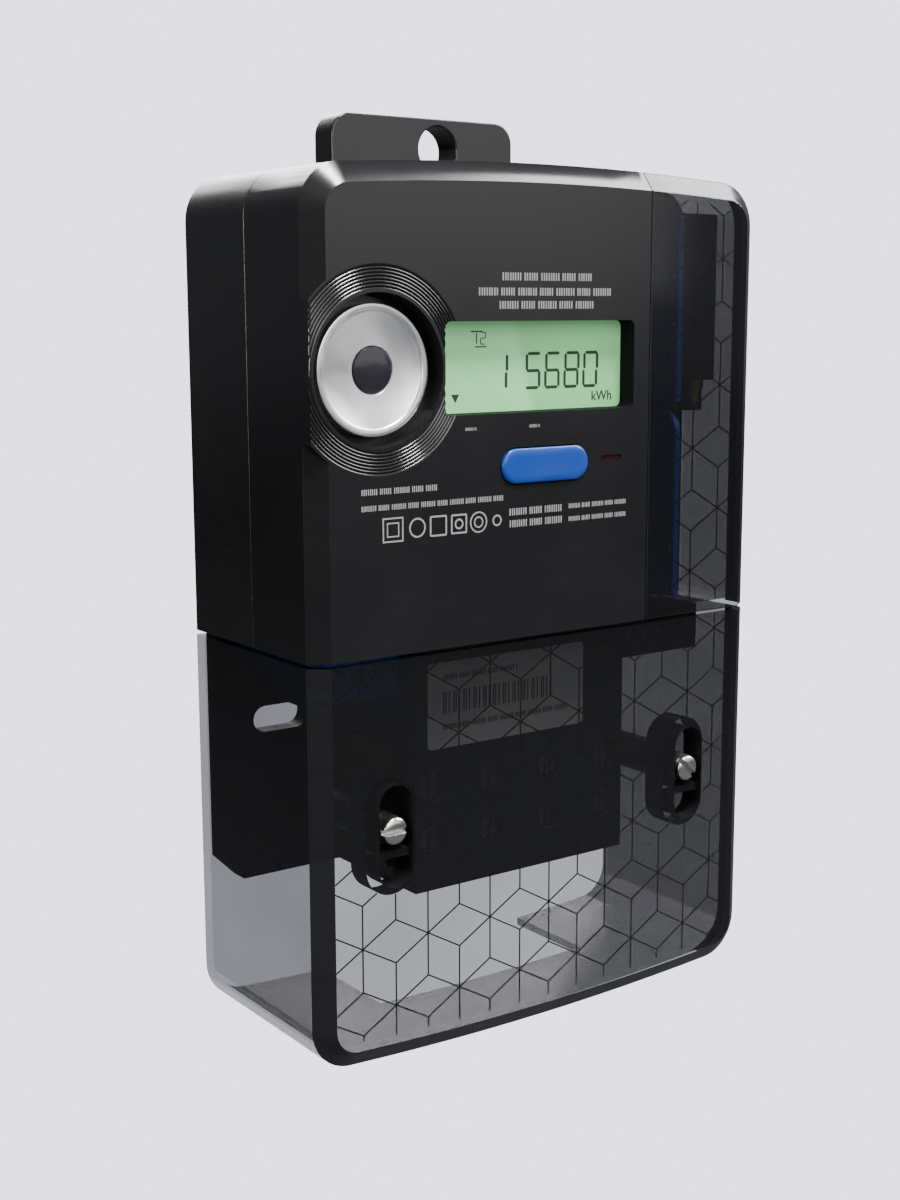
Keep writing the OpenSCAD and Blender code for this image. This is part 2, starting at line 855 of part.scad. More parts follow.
// Module cover and the plug-in boards behind it
module module_cover() {
  color(smoke) intersection() {
    difference() {
      upper_shape(seam_d + 0.1);
      slab(seam_d - 1, side_d - 3) upper_outline(cover_t, upper_low + cover_t, corner_r - cover_t);
      slab(seam_d, case_d - cover_t) {
        upper_outline(bevel_w + 0.6, upper_low + cover_t, corner_r - bevel_w);
      }
    }
    box(bay_left + 0.15, half + 1, 0, case_d + 1, upper_low - 1, top_h + top_arch + 1);
  }
}

module plug_in_board(low, high, r) {
  translate([module_x, 0, 0]) rotate([0, 90, 0]) linear_extrude(board_t) {
    difference() {
      translate([-high, -48]) square([high - low, 48 - bay_d - 1.6]);
      translate([-high, -48]) square([r, r]);
    }
    translate([r - high, r - 48]) circle(r);
  }
}

module upper_module_board() {
  color(module_blue) plug_in_board(module_mid + 1, room_top - 5, 1);
}

module lower_module_board() {
  color(module_blue) plug_in_board(room_low + 1.5, module_mid - 1, 6);
}

radio_low = module_mid + 6;
module radio_module() {
  color([0.06, 0.06, 0.065]) translate([0, 0, (radio_low + room_top - 4.5) / 2]) {
    translate([module_x + board_t + 6.02, -bay_d - 12.2, 0])
      linear_extrude(room_top - 4.5 - radio_low, center = true) rounded(12, 12, 1);
  }
}

module antenna_sockets() {
  color(brass) for (d = [bay_d + 8.8, bay_d + 15]) translate([module_x + board_t + 7, -d, 0]) {
    post(2.9, radio_low - 2.2, radio_low - 0.02);
    difference() {
      post(2.5, radio_low - 7.5, radio_low - 2.1);
      post(1.7, radio_low - 8, radio_low - 4);
    }
    post(0.5, radio_low - 7, radio_low - 3.9);
  }
}

module module_sockets() {
  color([0.08, 0.08, 0.08]) for (z = [[room_low + 6, module_mid - 12], [module_mid + 6, room_top - 18]]) {
    difference() {
      box(module_x - 2.2, module_x + board_t + 2.2, bay_d + 0.02, bay_d + 6, z[0], z[1]);
      box(module_x - 0.03, module_x + board_t + 0.03, bay_d + 1.55, bay_d + 7, z[0] - 1, z[1] + 1);
    }
  }
}

rear_base();
case_seal();
front_cover();
case_screws();
hanger();
display_frame();
display_glass();
backlight();
display_contacts();
port_ring();
port_window();
infrared_emitter();
infrared_receiver();
diode_holder();
front_board();
button_cap();
button_switch();
pulse_led();
pulse_lens();
main_board();
board_screws();
metering_chip();
control_chip();
clock_crystal();
film_capacitor();
supply_capacitor();
surge_varistor();
backup_battery();
current_shunt();
load_relay();
neutral_transformer();
board_link();
busbars();
terminal_block();
terminal_clamps();
clamp_screws();
blue_terminal();
black_terminal();
small_screws();
terminal_label();
cover_switch();
cover_plunger();
post_inserts();
terminal_cover();
seal_screw_left();
seal_screw_right();
module_cover();
upper_module_board();
lower_module_board();
radio_module();
antenna_sockets();
module_sockets();
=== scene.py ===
# %% [markdown]
# # A smart electricity meter in Blender
# The CAD frame already knows where every part is and how it moves. This notebook gives the parts that are
# seen a proper surface: moulded shells with real edges, turned metal, a liquid crystal display and two
# smoked covers. It starts by loading the frame and by noting the size of its box.

# %% Load the frame
import math

import bmesh
import bpy
from mathutils import Euler, Matrix, Vector


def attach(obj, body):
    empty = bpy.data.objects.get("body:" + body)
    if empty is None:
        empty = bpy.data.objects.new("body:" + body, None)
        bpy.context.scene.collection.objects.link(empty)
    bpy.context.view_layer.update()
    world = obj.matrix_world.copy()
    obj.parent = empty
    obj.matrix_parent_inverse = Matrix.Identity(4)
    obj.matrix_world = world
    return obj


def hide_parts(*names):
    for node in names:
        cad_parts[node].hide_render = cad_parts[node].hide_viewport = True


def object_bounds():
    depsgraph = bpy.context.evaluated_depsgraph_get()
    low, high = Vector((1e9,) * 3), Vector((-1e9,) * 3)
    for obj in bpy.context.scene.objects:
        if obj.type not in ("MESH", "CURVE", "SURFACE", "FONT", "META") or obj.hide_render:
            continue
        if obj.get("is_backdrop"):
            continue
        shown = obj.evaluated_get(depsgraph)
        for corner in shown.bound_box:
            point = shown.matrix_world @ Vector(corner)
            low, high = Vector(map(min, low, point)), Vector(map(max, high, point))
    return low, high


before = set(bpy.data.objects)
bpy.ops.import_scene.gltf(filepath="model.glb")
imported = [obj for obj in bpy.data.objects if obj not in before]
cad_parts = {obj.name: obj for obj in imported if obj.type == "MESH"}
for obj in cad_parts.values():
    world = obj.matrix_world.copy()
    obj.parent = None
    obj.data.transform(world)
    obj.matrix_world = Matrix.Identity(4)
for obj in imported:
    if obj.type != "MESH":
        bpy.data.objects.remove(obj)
cad_box = [list(corner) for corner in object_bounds()]
MM = 0.001
print("CAD box in mm:", [[round(v / MM, 1) for v in corner] for corner in cad_box])

# %% [markdown]
# ## Camera
# The view decides how much detail each surface needs, so the camera comes first. It stands to the
# left of the meter and a little above its middle, and looks down on it by about ten degrees. A lens of
# 50 mm keeps the perspective natural, and there is no lens shift or depth of field.

# %% Place the camera
eye = Vector((-245.5, -353.4, 70.2)) * MM
turn_right, look_down, roll = math.radians(35.75), math.radians(9.74), math.radians(-0.17)
camera_data = bpy.data.cameras.new("camera")
camera_data.lens = 50.59
camera_data.sensor_width = 36
camera = bpy.data.objects.new("camera", camera_data)
bpy.context.scene.collection.objects.link(camera)
aim = Euler((math.radians(90) - look_down, 0, -turn_right)).to_matrix().to_4x4()
camera.matrix_world = Matrix.Translation(eye) @ aim @ Matrix.Rotation(roll, 4, "Z")
bpy.context.scene.camera = camera
print("camera", [round(v, 3) for v in eye], "lens", camera_data.lens)

# %% [markdown]
# ## Studio
# Black gloss shows the room more than it shows itself. So the room is dark where the case would
# mirror it, with a few soft panels of light, while what the camera sees straight on is plain and pale.
# The world does both: a Light Path node tells the two kinds of ray apart.

# %% World and floor
PALE, PALE_STRENGTH = (0.775, 0.79, 0.89, 1), 3.1
ROOM, ROOM_STRENGTH = (0.9, 0.93, 1, 1), 0.15
FLOOR_PAINT, FLOOR_WIDTH, FLOOR_HEIGHT = (0.05, 0.052, 0.055, 1), 12, -0.32


def shader(tree, kind, colour, strength=None):
    """A shader node with its colour, and with its strength where it has one."""
    made = tree.nodes.new(kind)
    made.inputs["Color"].default_value = colour
    if strength is not None:
        made.inputs["Strength"].default_value = strength
    return made


def two_faced(tree, output, shown, hidden):
    """End a node tree with one shader that the camera sees and one that every other ray meets."""
    end = tree.nodes.new(output)
    rays = tree.nodes.new("ShaderNodeLightPath")
    either = tree.nodes.new("ShaderNodeMixShader")
    tree.links.new(rays.outputs["Is Camera Ray"], either.inputs[0])
    tree.links.new(hidden.outputs[0], either.inputs[1])
    tree.links.new(shown.outputs[0], either.inputs[2])
    tree.links.new(either.outputs[0], end.inputs[0])


world = bpy.data.worlds.new("studio")
bpy.context.scene.world = world
world.use_nodes = True
world.node_tree.nodes.clear()
seen = shader(world.node_tree, "ShaderNodeBackground", PALE, PALE_STRENGTH)
lit = shader(world.node_tree, "ShaderNodeBackground", ROOM, ROOM_STRENGTH)
two_faced(world.node_tree, "ShaderNodeOutputWorld", seen, lit)

bpy.ops.mesh.primitive_plane_add(size=FLOOR_WIDTH, location=(0, 0, FLOOR_HEIGHT))
floor = bpy.context.object
floor.name = "studio_floor"
paint = bpy.data.materials.new("studio_floor")
paint.use_nodes = True
paint.node_tree.nodes.clear()
glow = shader(paint.node_tree, "ShaderNodeEmission", PALE, PALE_STRENGTH)
matt = shader(paint.node_tree, "ShaderNodeBsdfDiffuse", FLOOR_PAINT)
two_faced(paint.node_tree, "ShaderNodeOutputMaterial", glow, matt)
floor.data.materials.append(paint)
floor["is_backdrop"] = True
print("pale studio with a floor at", FLOOR_HEIGHT, "m")


# %% Panels of light
def soft_light(name, toward, distance, size, watts):
    """A flat panel of light that hangs in one direction from the meter and faces it."""
    panel = bpy.data.lights.new(name, "AREA")
    panel.shape = "RECTANGLE"
    panel.size, panel.size_y = size
    panel.energy = watts
    holder = bpy.data.objects.new(name, panel)
    bpy.context.scene.collection.objects.link(holder)
    holder.location = Vector(toward).normalized() * distance
    holder.rotation_euler = holder.location.to_track_quat("Z", "Y").to_euler()


soft_light("top_panel", (0.1, -0.42, 0.9), 1.5, (0.35, 0.35), 58)
soft_light("front_panel", (-0.15, -0.9, 0.42), 2.0, (1.3, 1.1), 28)
soft_light("left_panel", (-0.97, -0.2, 0.15), 1.5, (0.4, 0.4), 12)
soft_light("front_right_panel", (0.42, -0.85, 0.26), 1.8, (1.1, 0.8), 3.5)
soft_light("upper_right_panel", (0.8, -0.38, 0.55), 1.4, (0.6, 0.6), 21)
soft_light("right_panel", (0.7, -0.1, 0.75), 1.4, (0.5, 0.5), 16)
soft_light("back_panel", (0.3, 0.9, 0.42), 1.6, (1.2, 0.5), 18)

# %% [markdown]
# ## Writing materials as sums
# A finish is a small recipe: a colour, how rough it is, and what wear and grain change over the
# surface. Node trees say this with many little boxes. The class below wraps one socket, so that plus,
# minus and times write the Math nodes for us, and one method adds any other node.

# %% A socket that does sums
class Wire:
    """An output socket. Sums on it add Math nodes to its finish."""

    def __init__(self, finish, socket):
        self.finish, self.socket = finish, socket

    def sum(self, operation, *values):
        return self.finish.node("ShaderNodeMath", {"operation": operation}, dict(enumerate(values)))

    def __add__(self, other):
        return self.sum("ADD", self, other)

    def __sub__(self, other):
        return self.sum("SUBTRACT", self, other)

    def __rsub__(self, other):
        return self.sum("SUBTRACT", other, self)

    def __mul__(self, other):
        return self.sum("MULTIPLY", self, other)

    def __truediv__(self, other):
        return self.sum("DIVIDE", self, other)

    __radd__, __rmul__ = __add__, __mul__


class Finish:
    """One material: a Principled shader and the nodes that vary it."""

    def __init__(self, name, colour, rough, metal=0.0, **constants):
        self.material = bpy.data.materials.new(name)
        self.material.use_nodes = True
        self.tree = self.material.node_tree
        self.shader = self.tree.nodes["Principled BSDF"]
        self.colour = (*colour, 1)
        self.feed("Base Color", self.colour)
        self.feed("Roughness", rough)
        self.feed("Metallic", metal)
        for socket, value in constants.items():
            self.feed(socket.replace("_", " "), value)

    def feed(self, name, value):
        """Give one socket of the shader a value or a wire."""
        self.plug(self.shader.inputs[name], value)
        return self

    def plug(self, socket, value):
        if isinstance(value, Wire):
            self.tree.links.new(value.socket, socket)
        else:
            socket.default_value = value

    def node(self, kind, settings=None, inputs=None, output=0):
        """Add a node: its settings come first, then the values or wires of its sockets."""
        made = self.tree.nodes.new(kind)
        for key, value in (settings or {}).items():
            setattr(made, key, value)
        for key, value in (inputs or {}).items():
            self.plug(made.inputs[key], value)
        return Wire(self, made.outputs[output])

    def place(self, stretch=(1, 1, 1), centre=(0, 0, 0), angle=(0, 0, 0)):
        """Object coordinates in metres, centred on a point, then stretched."""
        where = self.node("ShaderNodeTexCoord", output="Object")
        shift = [-c * MM for c in centre]
        moved = self.node("ShaderNodeVectorMath", {"operation": "ADD"}, {0: where, 1: shift})
        inputs = {"Vector": moved, "Scale": stretch, "Rotation": angle}
        return self.node("ShaderNodeMapping", None, inputs)

    def noise(self, size, detail=3.0, stretch=(1, 1, 1)):
        """Soft cloudy variation; size is the width of a cloud in millimetres."""
        inputs = {"Vector": self.place(stretch), "Scale": 1 / (size * MM), "Detail": detail}
        return self.node("ShaderNodeTexNoise", None, inputs)

    def band(self, value, low, high, to_low=0.0, to_high=1.0):
        """Map a value between two levels, and hold it there."""
        inputs = {"Value": value, "From Min": low, "From Max": high, "To Min": to_low, "To Max": to_high}
        return self.node("ShaderNodeMapRange", {"clamp": True}, inputs)

    def blend(self, share, first, second):
        """A colour between two, by a share from 0 to 1."""
        inputs = {0: share, 6: first, 7: second}
        return self.node("ShaderNodeMix", {"data_type": "RGBA"}, inputs, output=2)

    def tint(self, share, colour):
        """Lay a colour over the finish's own, by a share from 0 to 1."""
        source = self.shader.inputs["Base Color"]
        base = Wire(self, source.links[0].from_socket) if source.links else self.colour
        return self.feed("Base Color", self.blend(share, base, (*colour, 1)))

    def bump(self, height, depth):
        """Raise the surface by depth millimetres where height is 1."""
        earlier = self.shader.inputs["Normal"].links
        inputs = {"Height": height, "Distance": depth * MM}
        if earlier:
            inputs["Normal"] = Wire(self, earlier[0].from_socket)
        return self.feed("Normal", self.node("ShaderNodeBump", None, inputs))

    def radius(self, centre):
        """Distance from an axis that runs front to back, in millimetres."""
        flat = self.place((1, 0, 1), centre)
        length = self.node("ShaderNodeVectorMath", {"operation": "LENGTH"}, {0: flat}, output="Value")
        return length * (1 / MM)


print("finishes are written with", Finish.__name__, "and", Wire.__name__)

# %% [markdown]
# ## Moulded plastic, glossy and plain
# A polished mould leaves a faint unevenness, and handling leaves dust in some places and a duller
# gloss in others. Three noises at different sizes give this: one changes the roughness, one lays
# a thin grey dust, and a fine one bumps the surface by a few thousandths of a millimetre.

# %% Recipes for plastics
DUST = (0.42, 0.42, 0.4)


def moulded(name, colour, rough, grain=0.004, dust=0.05, **constants):
    """Plastic from a mould, with uneven gloss, a little dust and a fine grain."""
    made = Finish(name, colour, rough, **constants)
    patches = made.noise(18, 4)
    fine = made.noise(0.5, 2)
    scuffs = made.noise(7, 6, (1, 1, 9))
    made.feed("Roughness", made.band(patches, 0.3, 0.7, rough * 0.93, rough * 1.08) + scuffs * 0.02)
    made.tint(made.band(patches * scuffs, 0.2, 0.5, 0.0, dust), DUST)
    return made.bump(fine, grain)


# Each row: colour, roughness, height of the grain in millimetres, share of dust.
PLASTICS = {
    "case_black": ((0.0065, 0.0067, 0.0072), 0.22, 0.002, 0.004),
    "groove_black": ((0.0085, 0.0088, 0.0095), 0.16, 0.001, 0.0),
    "base_black": ((0.007, 0.0072, 0.0077), 0.26, 0.006, 0.008),
    "terminal_black": ((0.012, 0.012, 0.013), 0.38, 0.012, 0.04),
    "inner_black": ((0.01, 0.01, 0.011), 0.5, 0.02, 0.05),
    "radio_black": ((0.011, 0.011, 0.012), 0.33, 0.01, 0.03),
    "button_blue": ((0.004, 0.036, 0.22), 0.3, 0.003, 0.02),
    "terminal_blue": ((0.02, 0.07, 0.32), 0.4, 0.01, 0.03),
    "disc_blue": ((0.03, 0.12, 0.42), 0.28, 0.01),
    "sleeve_blue": ((0.02, 0.022, 0.1), 0.3, 0.01),
    "battery_sleeve": ((0.1, 0.26, 0.14), 0.35, 0.01),
    "film_yellow": ((0.65, 0.33, 0.03), 0.3, 0.01),
    "relay_white": ((0.75, 0.75, 0.71), 0.4, 0.02),
    "chip_black": ((0.011, 0.011, 0.011), 0.55, 0.03),
    "seal_rubber": ((0.02, 0.02, 0.02), 0.75, 0.03, 0.1),
    "contact_rubber": ((0.05, 0.05, 0.055), 0.7, 0.03),
    "plunger_red": ((0.5, 0.02, 0.02), 0.35, 0.01),
    "diode_body": ((0.02, 0.012, 0.03), 0.12, 0.002),
    "light_guide": ((0.8, 0.84, 0.8), 0.3, 0.01),
    "lamp_red": ((0.014, 0.002, 0.002), 0.2, 0.004),
    "print_grey": ((0.2, 0.2, 0.2), 0.55, 0.001, 0.0),
    "label_white": ((0.8, 0.81, 0.82), 0.45, 0.003, 0.03),
    "label_ink": ((0.05, 0.05, 0.05), 0.6, 0.0, 0.0),
}
finishes = {name: moulded(name, *recipe) for name, recipe in PLASTICS.items()}
finishes["well_black"] = moulded(
    "well_black", (0.004, 0.004, 0.004), 0.7, 0.01, 0.0, Specular_IOR_Level=0.08)
print(len(finishes), "plastics")

# %% [markdown]
# ## Smoked covers
# The two covers are clear plastic with black dye. Real smoke takes light away over the thickness of the
# wall, and bending the light adds noise without adding much to see in a thin wall. So each surface lets a
# share of the light through by its alpha, and keeps its own gloss. The bevelled border is a second finish
# that passes next to nothing: it is painted dark, and stands for the black that the bevels show as they
# mirror the dark room and are seen through at a slant. The side walls and the line pattern pass a little
# less than the front.

# %% Smoked plastic
def smoked(name, clear, rough):
    """Dyed clear plastic; clear is the share of light that each surface passes."""
    made = Finish(name, (0.006, 0.0063, 0.007), rough, IOR=1.5)
    cloud = made.noise(30, 3)
    made.feed("Alpha", made.band(cloud, 0.3, 0.7, 1 - clear * 1.04, 1 - clear * 0.96))
    made.feed("Roughness", made.band(made.noise(9, 5, (1, 1, 6)), 0.35, 0.7, rough, rough * 1.2))
    made.material.use_transparent_shadow = True
    return made.bump(made.noise(14, 2), 0.004)


# The border finish passes next to nothing. It is painted dark and stands for the black of the bevels' dark
# reflection and of walls seen edge-on.
SMOKES = {"smoked_clear": (0.43, 0.09), "smoked_border_painted_dark": (0.004, 0.28),
          "smoked_side": (0.32, 0.09), "smoked_lines": (0.2, 0.2)}
for name, (clear, rough) in SMOKES.items():
    finishes[name] = smoked(name, clear, rough)
print("smoked finishes:", *SMOKES)

# %% [markdown]
# ## Metals
# Turned parts carry fine rings from the lathe, stamped and plated parts carry fine streaks, and both
# have a few duller spots from fingers. The rings come from the distance to the part's own axis.

# %% Recipes for metals
def plated(name, colour, rough, streaks=(1, 1, 14), depth=0.003):
    """Plated or rolled metal with fine streaks and duller patches."""
    made = Finish(name, colour, rough, 1.0)
    fine = made.noise(0.8, 3, streaks)
    patches = made.noise(5, 3)
    made.feed("Roughness", made.band(patches, 0.3, 0.7, rough * 0.85, rough * 1.2) + fine * 0.06)
    made.tint(made.band(patches, 0.5, 0.8, 0.0, 0.1), tuple(c * 0.7 for c in colour))
    return made.bump(fine, depth)


def turned(name, colour, rough, centre, step, depth):
    """Metal from a lathe, with rings around its own axis; step and depth are the tool marks'."""
    made = plated(name, colour, rough)
    away = made.radius(centre)
    rings = away.sum("MODULO", away, step) / step
    return made.bump(rings, depth)


PORT = (-47.5, 0, 57.7)
finishes.update({
    "zinc_steel": plated("zinc_steel", (0.55, 0.55, 0.54), 0.3),
    "turned_steel": turned("turned_steel", (0.86, 0.865, 0.87), 0.3, PORT, 0.2, 0.016),
    "nickel_steel": plated("nickel_steel", (0.62, 0.6, 0.56), 0.24, (14, 1, 1)),
    "clamp_brass": plated("clamp_brass", (0.72, 0.53, 0.22), 0.3),
    "bar_copper": plated("bar_copper", (0.72, 0.34, 0.2), 0.32),
    "connector_gold": plated("connector_gold", (0.95, 0.62, 0.2), 0.22, (1, 1, 3)),
})
print("metals ready; the port's rings run round", PORT)

# %% [markdown]
# ## Tools for modelling by code
# Everything new is modelled with Blender's own operators, as by hand: add a primitive at its size and
# place, pick faces or edges by where they are, and extrude, inset or bevel them. These helpers keep each
# step to one line. Sizes are given in millimetres and applied to the mesh, so objects stay at the origin.

# %% Helpers: starting pieces
def fresh():
    """Leave edit mode and let go of everything."""
    if bpy.context.object and bpy.context.object.mode != "OBJECT":
        bpy.ops.object.mode_set(mode="OBJECT")
    bpy.ops.object.select_all(action="DESELECT")


def only(piece):
    """Select one piece and nothing else."""
    fresh()
    bpy.context.view_layer.objects.active = piece
    piece.select_set(True)


def named(name):
    """Name the object just added and keep its place in its mesh."""
    piece = bpy.context.object
    piece.name = piece.data.name = name
    bpy.ops.object.transform_apply(location=True, rotation=True, scale=True)
    return piece


def block(name, low, high):
    """A box between two corners."""
    fresh()
    low, high = Vector(low) * MM, Vector(high) * MM
    bpy.ops.mesh.primitive_cube_add(size=1, location=(low + high) / 2, scale=high - low)
    return named(name)


def disc(name, centre, radius, back, front, sides=64):
    """A round bar that lies front to back; back and front are depths from the wall."""
    fresh()
    x, z = centre
    middle = Vector((x, -(back + front) / 2, z)) * MM
    turn = (math.radians(90), 0, 0)
    bpy.ops.mesh.primitive_cylinder_add(
        vertices=sides, radius=radius * MM, depth=(front - back) * MM, location=middle, rotation=turn)
    return named(name)


# %% Helpers: picking and shaping
def pick(piece, test=lambda p, n: True, kind="FACE"):
    """Open the piece in edit mode with the faces, edges or points picked that pass a test.
    The test gets the middle of each in millimetres, and its direction."""
    only(piece)
    bpy.ops.object.mode_set(mode="EDIT")
    bpy.ops.mesh.select_mode(type=kind)
    bpy.ops.mesh.select_all(action="DESELECT")
    mesh = bmesh.from_edit_mesh(piece.data)
    for item in {"FACE": mesh.faces, "EDGE": mesh.edges, "VERT": mesh.verts}[kind]:
        if kind == "FACE":
            middle, way = item.calc_center_median(), item.normal
        elif kind == "EDGE":
            ends = [v.co for v in item.verts]
            middle, way = (ends[0] + ends[1]) / 2, (ends[1] - ends[0]).normalized()
        else:
            middle, way = item.co, item.normal
        if test(middle / MM, way):
            item.select_set(True)
    bmesh.update_edit_mesh(piece.data)


def done(piece):
    """Close edit mode."""
    bpy.ops.object.mode_set(mode="OBJECT")
    return piece


def round_edges(piece, test, radius, segments=8):
    """Round the picked edges."""
    pick(piece, test, "EDGE")
    bpy.ops.mesh.bevel(offset=radius * MM, segments=segments, profile=0.5)
    return done(piece)


def cut(piece, point, normal):
    """Slice the piece on a plane and throw away the side that the normal points to."""
    pick(piece)
    bpy.ops.mesh.bisect(
        plane_co=Vector(point) * MM, plane_no=normal, use_fill=True, clear_outer=True)
    return done(piece)


def apply_all(piece):
    """Apply every modifier of the piece in its order."""
    only(piece)
    for modifier in list(piece.modifiers):
        bpy.ops.object.modifier_apply(modifier=modifier.name)
    return piece


def carve(piece, *tools, operation="DIFFERENCE"):
    """Cut tools out of a piece, or join them to it; the tools are used up."""
    for tool in tools:
        modifier = piece.modifiers.new(operation, "BOOLEAN")
        modifier.operation, modifier.object, modifier.solver = operation, tool, "EXACT"
    apply_all(piece)
    for tool in tools:
        bpy.data.objects.remove(tool)
    return piece


def smooth(piece, angle):
    """Shade smooth across edges that turn by less than an angle in degrees."""
    only(piece)
    bpy.ops.object.shade_smooth_by_angle(angle=math.radians(angle))
    return piece


def soften(piece, width, segments=2, angle=28, crease=None):
    """Break the sharp edges, as a mould or a tool leaves them. The large faces then lead the
    shading, so that they stay flat and only the narrow edges look round. A crease test names
    edges that stay crisp."""
    modifier = piece.modifiers.new("soft_edges", "BEVEL")
    modifier.width, modifier.segments = width * MM, segments
    modifier.limit_method, modifier.angle_limit = "ANGLE", math.radians(angle)
    apply_all(piece)
    smooth(piece, 60)
    if crease:
        pick(piece, crease, "EDGE")
        bpy.ops.mesh.mark_sharp()
        done(piece)
    modifier = piece.modifiers.new("flat_faces", "WEIGHTED_NORMAL")
    modifier.keep_sharp = True
    return apply_all(piece)


def copy_of(piece, name, shift=(0, 0, 0), turn=0.0, about=(0, 0, 0)):
    """A copy with its own mesh, turned about a front-to-back axis and then moved."""
    twin = bpy.data.objects.new(name, piece.data.copy())
    bpy.context.scene.collection.objects.link(twin)
    centre = Vector(about) * MM
    spin = Matrix.Translation(centre) @ Matrix.Rotation(turn, 4, "Y") @ Matrix.Translation(-centre)
    twin.data.transform(Matrix.Translation(Vector(shift) * MM) @ spin)
    twin.data.name = name
    return twin


def joined(name, pieces):
    """Join pieces into one object."""
    fresh()
    for piece in pieces:
        piece.select_set(True)
    bpy.context.view_layer.objects.active = pieces[0]
    bpy.ops.object.join()
    pieces[0].name = pieces[0].data.name = name
    return pieces[0]


def finish(piece, body, slot, finish_name, replaces=()):
    """Give a piece its material and its body, and hide the CAD nodes that it stands for. The slot is not
    used.
    """
    piece.data.materials.clear()
    piece.data.materials.append(finishes[finish_name].material)
    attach(piece, body)
    if replaces:
        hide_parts(*replaces)
    print(piece.name, len(piece.data.polygons), "faces")
    return piece


def border(piece, finish_name, test):
    """A second finish for the picked faces."""
    piece.data.materials.append(finishes[finish_name].material)
    pick(piece, test)
    bpy.context.object.active_material_index = len(piece.data.materials) - 1
    bpy.ops.object.material_slot_assign()
    return done(piece)


print("modelling helpers ready")

# %% [markdown]
# ## The moulded case
# Three mouldings share one outline: the black front cover, the smoked module cover at its right and
# the smoked terminal cover below. The real tool was cut as one shape and split by thin gaps. So one
# function makes a whole half of that shape: a box whose upper corners are rounded, whose upper edge is
# lifted to its shallow arch in steps, and whose front is inset and pulled forward for the bevel. The
# same function, a wall thickness smaller, makes the hollow.

# %% One half of the case's outer shape
HALF, FRONT, SIDE = 65.0, 53.4, 50.0
TOP, ARCH, BOTTOM, LOWER_ARCH = 100.0, 2.5, 97.0, 2.4
CORNER, CORNER_STEPS, BEVEL = 10.5, 10, 4.4
SPLIT, SEAM, BAY = (-4.1, -5.1), 27.3, 29.3


def half_case(name, upper, inset=0.0, back=0.0, front=FRONT, side=SIDE, bevel=BEVEL):
    """The upper or the lower half of the case's outline, shrunk by an inset."""
    half, sag = HALF - inset, ARCH if upper else LOWER_ARCH
    shoulder = (TOP if upper else BOTTOM) - inset
    radius = max(CORNER - inset, 1)
    start = half - radius
    rise = lambda x: sag * (1 - (x / half) ** 2)
    piece = block(name, (-half, -side, -30), (half, -back, shoulder + rise(start)))
    corner = lambda p, w: abs(w.y) > 0.9 and p.z > 0
    round_edges(piece, corner, radius, CORNER_STEPS)
    stations = [start * step / 6 for step in range(-5, 6)]
    for x in stations:
        pick(piece)
        bpy.ops.mesh.bisect(plane_co=(x * MM, 0, 0), plane_no=(1, 0, 0))
    for x in stations:
        pick(piece, lambda p, n: abs(p.x - x) < 0.01 and p.z > 0, "VERT")
        bpy.ops.transform.translate(value=(0, 0, (rise(x) - rise(start)) * MM))
    pick(piece, lambda p, n: n.y < -0.99)
    bpy.ops.mesh.dissolve_faces()
    bpy.ops.mesh.inset(thickness=bevel * MM, use_even_offset=True)
    bpy.ops.transform.translate(value=(0, (side - front) * MM, 0))
    done(piece)
    if not upper:
        pick(piece)
        bpy.ops.transform.resize(value=(1, 1, -1), center_override=(0, 0, 0))
        bpy.ops.mesh.normals_make_consistent(inside=False)
        done(piece)
    return piece


def where_corner_starts(p, w):
    """The level edges where the straight side bevels end and the rounded corners begin."""
    on_side_bevel = abs(p.x) > 60 and 50.05 < -p.y < 53.35 and abs(w.z) < 0.1
    return on_side_bevel and min(abs(p.z - TOP + CORNER), abs(p.z + BOTTOM - CORNER)) < 0.4


sample = half_case("sample", True)
print("upper half:", [round(v / MM, 1) for v in sample.dimensions], len(sample.data.polygons), "faces")
bpy.data.objects.remove(sample)

# %% [markdown]
# ## Front cover
# The opaque black moulding carries everything that the customer reads. It is a shell 2.2 mm thick. Its
# openings are cut with tools shaped like the cutters of the mould: rounded boxes and discs. The round
# boss around the reading port breaks through the left bevel, which gives the case its profile.

# %% The black shell
BAY_LEFT, WALL = 29.0, 2.2


def hollow(upper, wall):
    """The space inside a cover: the same shape moved inwards by one wall, with a matching bevel."""
    length = math.hypot(BEVEL, FRONT - SIDE)
    nx, ny = (FRONT - SIDE) / length, BEVEL / length
    slope = (FRONT - SIDE) / BEVEL
    corner_x, corner_y = HALF - wall * nx, SIDE - wall * ny
    side = corner_y + (corner_x - (HALF - wall)) * slope
    front = FRONT - wall
    bevel = (HALF - wall) - (corner_x - (front - corner_y) / slope)
    return half_case("hollow", upper, wall, -5, front, side, bevel)


def pill(name, centre, size, back, front, radius=None, segments=10):
    """A box standing front to back whose four long edges are rounded."""
    (x, z), (w, h) = centre, size
    radius = radius or min(w, h) / 2 - 0.01
    piece = block(name, (x - w / 2, -front, z - h / 2), (x + w / 2, -back, z + h / 2))
    round_edges(piece, lambda p, way: abs(way.y) > 0.9, radius, segments)
    if radius > 1 and front - back > 1:
        pick(piece)
        bpy.ops.mesh.remove_doubles(threshold=0.03 * MM)
        done(piece)
    return piece


def upper_shell(name, wall, back):
    """The upper covers in one piece, cut at the split and opened at the back."""
    shell = half_case(name, True, back=back)
    cut(shell, (0, 0, SPLIT[0]), (0, 0, -1))
    space = hollow(True, wall)
    cut(space, (0, 0, SPLIT[0] + wall), (0, 0, -1))
    return carve(shell, space)


